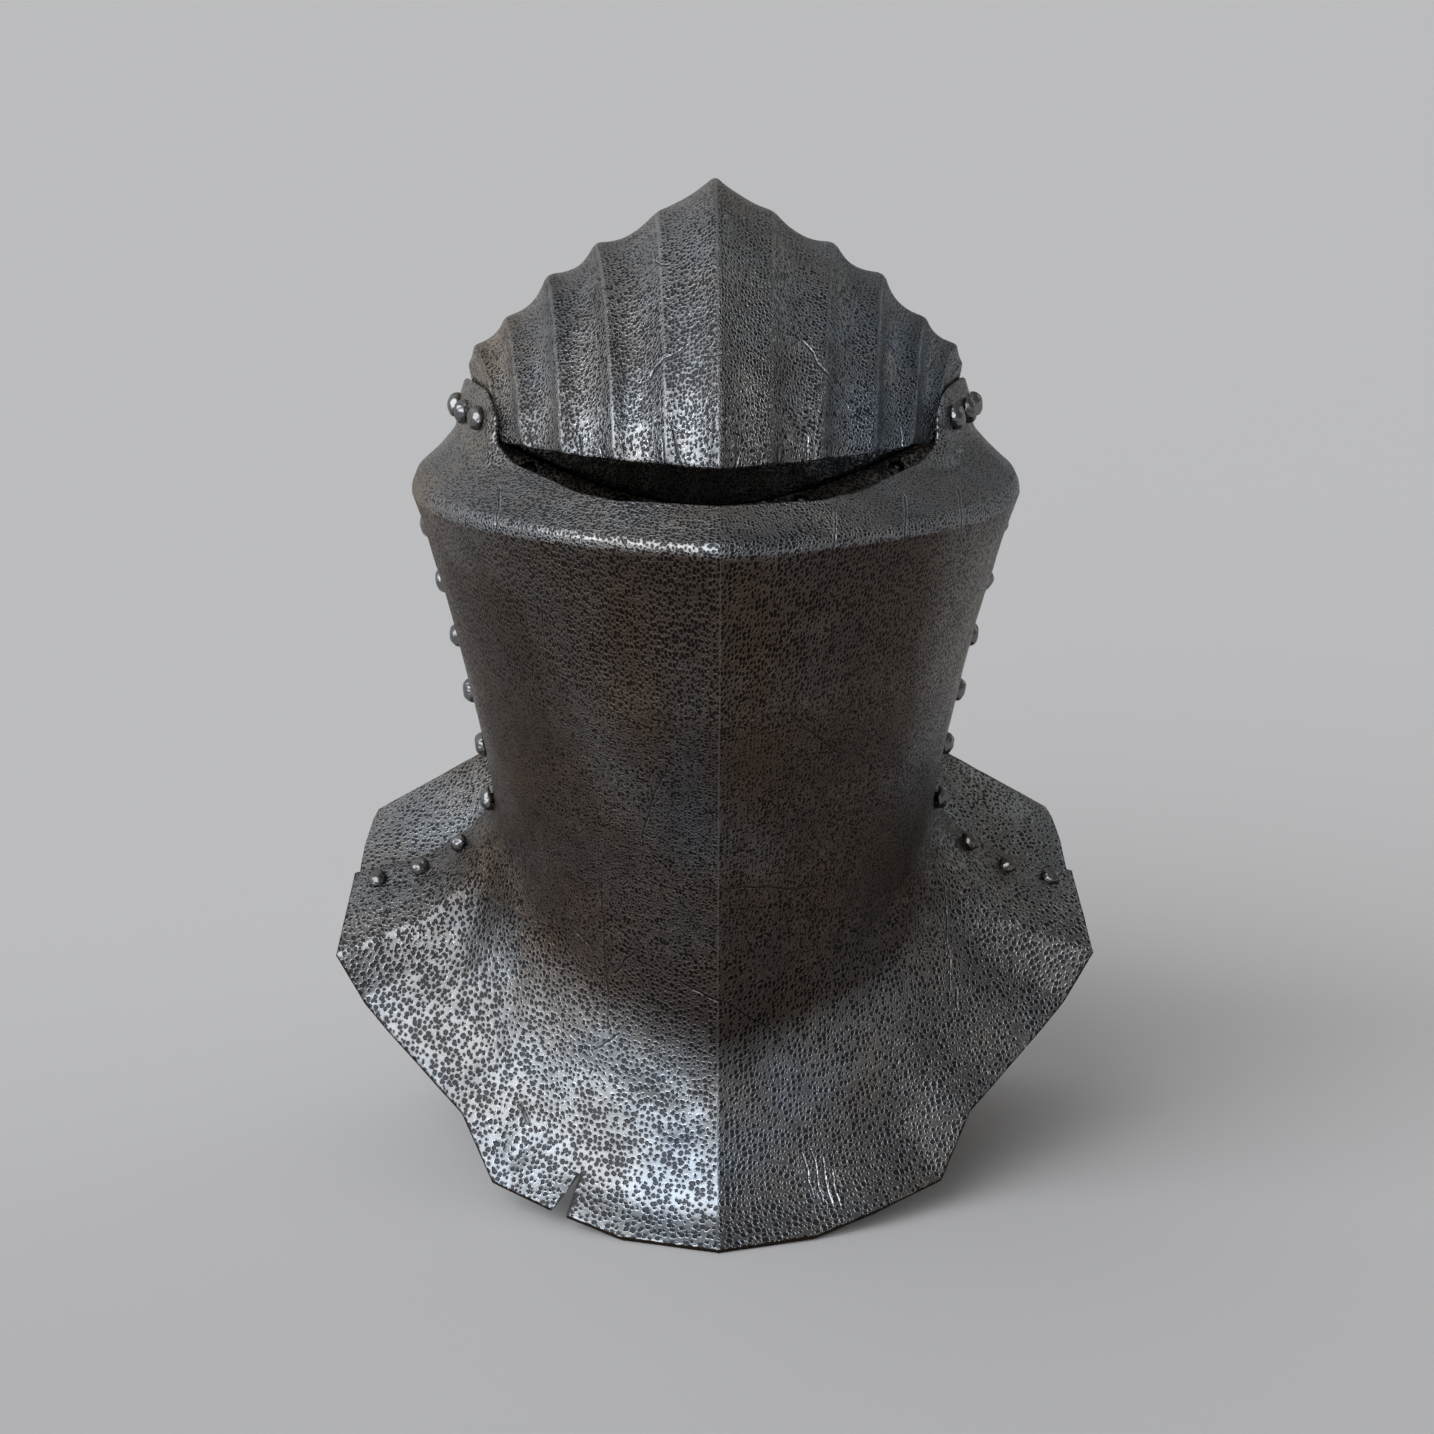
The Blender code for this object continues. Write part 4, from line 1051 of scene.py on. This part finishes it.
# %% Steel
def steel(name, bright, strokes=(), roughness=0.33, ring_glint=0.55, pitted=True, streaked=False):
    """The finish of one piece. The colour comes first: metal and patina (on the neck also painted
    shade), pits and rings (rubbed metal and painted glints), scratches with bright burrs, tint and
    tone (painted highlights and painted shade), and the stained edge. Gloss and bump follow."""
    material = bpy.data.materials.new(name)
    tree = Tree(material)
    place = tree.add("TexCoord")["Object"]
    crest = tree.ramp(tree.attribute("crest"), 0.35, 0.8)
    pit, ring = pitting(tree, place, crest, streaked) if pitted else (0.0, 0.0)
    cloud = tree.noise(place, 14.0, 4.0)[0]
    # patina and painted shade: the neck's brown also stands in for the shade under the lip
    patina_and_shade = tree.ramp(cloud, 0.35, 0.7, -0.12, 0.25)
    patina_and_shade = tree.plus(tree.attribute("patina_and_shade"), patina_and_shade, clamp=True)

    flat = tree.mix(patina_and_shade, bright, PATINA_AND_SHADE)
    # the keel and crests rubbed bright, and the painted highlight on the lip's nose facet
    flat = tree.mix(tree.times(crest, 0.24), flat, CREST_GREY)
    flat = tree.mix(tree.attribute("inside"), flat, INNER_GREY)
    dark = tree.vector("MULTIPLY", flat, IN_THE_PITS)
    # painted glints: a bright ring round each pit, partly rubbed metal
    rubbed_ring_glint = tree.times(ring, tree.line(patina_and_shade, -0.8 * ring_glint, ring_glint))
    flat = tree.mix(rubbed_ring_glint, flat, RUBBED_GLINT)
    specks = tree.patches(place, 1100.0, 1.0, 0.62, 0.72, 0.0, 0.45)
    colour = tree.mix(tree.math("MAXIMUM", pit, specks), flat, dark)
    scratch = grooves(tree, place, strokes) if strokes else 0.0
    if strokes:
        burr = tree.times(tree.ramp(scratch, 0.02, 0.2), tree.ramp(scratch, 0.7, 0.35))
        burr = tree.times(burr, tree.line(patina_and_shade, -0.44, 0.5))
        colour = tree.mix(burr, colour, RUBBED_GLINT)
        colour = tree.mix(tree.ramp(scratch, 0.45, 0.9, 0.0, 0.75), colour, dark)
    warm = tree.patches(place, 26.0, 3.0, 0.35, 0.65, -0.35, 0.35)
    warm = tree.plus(tree.attribute("warm"), warm)
    tint = tree.add("CombineXYZ", tree.line(warm, REDDER, 1.0), 1.0,
                    tree.line(warm, BLUER, 1.0))[0]
    cloudy = tree.patches(place, 120.0, 3.0, 0.35, 0.75, 1.0, 0.80)
    # the tone attribute paints highlights and shade; the cloudy patches vary at random
    tone = tree.times(cloudy, tree.plus(tree.attribute("tone"), 1.0))
    colour = tree.vector("MULTIPLY", colour, tree.vector("SCALE", tint, (0, 0, 0), (0, 0, 0), tone))
    rough_edge = tree.patches(place, 300.0, 2.0, 0.3, 0.7, -0.15, 0.15)
    rim = tree.ramp(tree.plus(tree.attribute("rim"), rough_edge), 0.3, 0.55)
    colour = tree.mix(rim, colour, RIM_BROWN)

    gloss = tree.ramp(cloud, 0.3, 0.75, roughness - 0.05, roughness + 0.07)
    gloss = tree.line(pit, 0.16, gloss)
    gloss = tree.line(rim, 0.25, gloss)

    height = tree.line(tree.noise(place, 900.0)[0], 0.16, tree.times(ring, 0.25))
    height = tree.math("SUBTRACT", height, pit)
    if strokes:
        height = tree.line(scratch, -1.1, height)
    if not pitted:
        height = tree.line(tree.noise(place, 330.0, 1.0)[0], 2.4, height)
    bump = tree.add("Bump", Strength=0.9, Distance=BUMP_HEIGHT, Height=height)[0]
    tree.finish("Principled BSDF", Base_Color=colour, Roughness=gloss, Metallic=1.0,
                Specular_Tint=GRAZING_TINT, Normal=bump)
    return material


# %% The four finishes
front_steel = steel("front_steel_pitted", BRIGHT, FRONT_STROKES, streaked=True)
crown_steel = steel("crown_steel_pitted", CROWN_BRIGHT, CROWN_STROKES,
                    roughness=0.29, ring_glint=0.65)
back_steel = steel("back_steel_pitted", BRIGHT)
rivet_finish = steel("rivet_steel_smooth", RIVET_BRIGHT, roughness=0.27, pitted=False)
front_plate.data.materials.append(front_steel)
skull_plate.data.materials.append(crown_steel)
back_plate.data.materials.append(back_steel)
print(len(front_steel.node_tree.nodes), "nodes in the front plate's steel")

# %% [markdown]
# ## Rivets
#
# The rivets are hammered domes, a little uneven. A dome is a profile turned round an axis.
# The CAD model holds a plain rivet at each place, so its own points give the axis: a turned
# shape spreads equally in the two directions across its axis, and differently along it.

# %% Axis of a rivet
ROUND, RINGS = 28, 9
DOME_SINK = 0.9              # how far a head's skirt reaches down to its plate, mm
SHANK = 2.5                  # radius, mm
TAIL_WIDE, TAIL_NARROW, TAIL_THICK = 4.0, 3.2, 1.4
PLAN_STEP = 20.0             # each rivet has its own stretch of the noise, mm
FLATTER = 0.82               # the shoulder rivets' heads are hammered flatter and smaller
OVAL, THREE_SIDED = 0.035, 0.02              # how far a head is from round, as shares
DENTING, DENT_SIZE = 0.25, 5.0               # mm
FIRST_SEED = 41


def rivet_axis(node):
    """Middle, axis and outline of a CAD rivet. The axis is the principal direction whose
    spread differs most from the other two, pointing to the wider end, the head."""
    points = np.unique(points_of(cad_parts[node].data).round(7), axis=0) / MM
    middle = points.mean(axis=0)
    spread, directions = np.linalg.eigh(np.cov((points - middle).T))
    axis = directions[:, 2] if spread[2] - spread[1] > spread[1] - spread[0] else directions[:, 0]
    along_axis = (points - middle) @ axis
    radius = np.linalg.norm(points - middle - along_axis[:, None] * axis, axis=1)
    widest = along_axis[np.argmax(radius)]
    if widest < 0:
        axis, along_axis, widest = -axis, -along_axis, -widest
    return middle, axis, radius.max(), widest, along_axis.max(), along_axis.min()


# %% Domes
def dome(node, seed):
    """A rivet: the head is a quarter turn of radius * cos and height * sin, on a short skirt,
    with a shank and a flat tail. The radius wavers a little with the angle."""
    middle, axis, radius, seat, top, tail = rivet_axis(node)
    if "shoulder" in node:
        radius, top = radius * FLATTER, seat + (top - seat) * FLATTER
    random = np.random.default_rng(seed)
    turn = np.linspace(0, math.pi / 2, RINGS)[:-1]
    height = top - seat
    profile = [(radius * math.cos(a) ** 0.8, seat + height * math.sin(a)) for a in turn[::-1]]
    profile += [(radius * 0.99, seat - DOME_SINK), (SHANK, seat - DOME_SINK),
                (SHANK, tail + TAIL_THICK), (TAIL_WIDE, tail + TAIL_THICK), (TAIL_NARROW, tail)]
    r, h = np.array(profile).T
    angle = np.arange(ROUND) / ROUND * math.tau
    side = unit(np.cross(axis, (0.0, 1.0, 0.3)))
    other = np.cross(axis, side)
    wave = 1 + OVAL * np.cos(2 * angle + random.uniform(0, 6))
    wave += THREE_SIDED * np.cos(3 * angle + random.uniform(0, 6))
    ring = np.cos(angle)[:, None] * side + np.sin(angle)[:, None] * other
    points = middle + h[:, None, None] * axis + (r[:, None] * wave)[..., None] * ring
    points = np.concatenate([points.reshape(-1, 3), [middle + axis * top, middle + axis * tail]])
    points[:-1] -= axis * DENTING * lumps(points[:-1, None], DENT_SIZE, seed)
    number, below = len(points), len(points) - 2 - ROUND
    step = [(k, (k + 1) % ROUND) for k in range(ROUND)]
    faces = tube_faces(len(profile), ROUND)
    faces += [(number - 2, a, b) for a, b in step]
    faces += [(number - 1, b + below, a + below) for a, b in step]
    made = new_object(node + "_dome", points, faces)
    made.data.shade_smooth()
    store(made.data, "coarse", np.full(len(points), 0.1))
    store(made.data, "patina_and_shade", np.full(len(points), 0.25))
    spot = (points - middle) @ np.stack([side, other, np.zeros(3)], axis=1)
    store(made.data, "plan", (spot + PLAN_STEP * seed) * MM)
    made.data.materials.append(rivet_finish)
    if outside_volume(made) < 0:
        made.data.flip_normals()
    return made


# %% All the rivets
rivets = {}
for seed, node in enumerate(sorted(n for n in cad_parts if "_rivet_" in n), FIRST_SEED):
    rivets[node] = dome(node, seed)
print(len(rivets), "rivets, each", len(rivets[node].data.polygons), "faces")

# %% [markdown]
# ## What stands for what
#
# Every new piece rides on the helm's one body and replaces the CAD node that it dresses. Each
# one is listed with a material slot name, which the loop below doesn't use.

# %% Ride and replace
dressed = [(front_plate, "front_plate", "front_steel"), (back_plate, "back_plate", "back_steel"),
           (skull_plate, "skull_plate", "crown_steel")]
dressed += [(made, node, "rivet_steel") for node, made in rivets.items()]
for made, node, slot in dressed:
    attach(made, "root")
    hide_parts(node)

# %% [markdown]
# ## Floor, light and camera
#
# The helm stands on a wide pale floor. A soft key light comes from above on the helm's
# right, like a large window, and a low even light fills the rest. The key is a sun lamp with
# a wide angle, because a sun lights the far floor as strongly as the near one.

# %% Floor
FLOOR_X, FLOOR_Y = (-40e3, 40e3), (-10e3, 70e3)               # mm
# painted shade: the floor's colour is darker towards the front, where the camera is
FRONT_TONE = (0.548, 0.530, 0.523, 1.0), (0.568, 0.550, 0.543, 1.0)
BACK_TONE = (0.633, 0.612, 0.601, 1.0), (0.653, 0.632, 0.621, 1.0)

floor = new_object("floor", [(x, y, 0) for y in FLOOR_Y for x in FLOOR_X], [(0, 1, 3, 2)])
floor.data.materials.append(bpy.data.materials.new("pale_floor"))
paper = Tree(floor.data.materials[0])
place = paper.add("TexCoord")["Object"]
speckle = paper.noise(place, 700.0, 3.0)[0]
depth = paper.ramp(paper.add("SeparateXYZ", place)["Y"], -0.55, 0.45)
tones = (paper.mix(speckle, *tone) for tone in (FRONT_TONE, BACK_TONE))
paper.finish("Principled BSDF", Base_Color=paper.mix(depth, *tones), Roughness=0.9)

# %% Light
ROOM_DIM, ROOM_BRIGHT = (0.197, 0.188, 0.183, 1.0), (0.70, 0.72, 0.74, 1.0)

# the room is lighter and cooler on the helm's right, where the window is
bpy.context.scene.world = bpy.data.worlds.new("soft_room")
room = Tree(bpy.context.scene.world)
sideways = room.add("SeparateXYZ", room.add("TexCoord")["Generated"])["X"]
room.finish("Background", Color=room.mix(room.ramp(sideways, 0.45, -0.75), ROOM_DIM, ROOM_BRIGHT))


def lamp(name, azimuth, elevation, strength, spread, colour):
    """A sun lamp; azimuth 0 is the helm's front and 90 its left, `spread` is the lamp's
    width, all in degrees."""
    light = bpy.data.lights.new(name, "SUN")
    light.energy, light.angle, light.color = strength, math.radians(spread), colour
    turn, lift = math.radians(azimuth), math.radians(elevation)
    level = math.cos(lift)
    placed(name, light, Vector((math.sin(turn) * level, -math.cos(turn) * level, math.sin(lift))))


lamp("window", -41.0, 22.0, 3.1, 68.0, (0.94, 1.0, 1.07))
lamp("rim", 130.0, 20.0, 0.15, 30.0, (0.85, 1.0, 1.0))

# %% Camera
TARGET = Vector((0.0012, 0.0385, 0.2116))
EYE = Vector((-0.0217, -1.7079, 0.6471))
camera = bpy.data.cameras.new("camera")
camera.sensor_width, camera.lens = 36.0, 97.2
bpy.context.scene.camera = placed("camera", camera, EYE - TARGET)
bpy.context.scene.camera.location = EYE
bpy.context.scene.view_settings.view_transform = "Standard"

# %% [markdown]
# ## Sizes
# The box round the imported model is printed. The sheets' points are held inside it when they
# are made.

# %% Sizes, and the end
print("CAD box", [tuple(round(v, 4) for v in c) for c in cad_box])
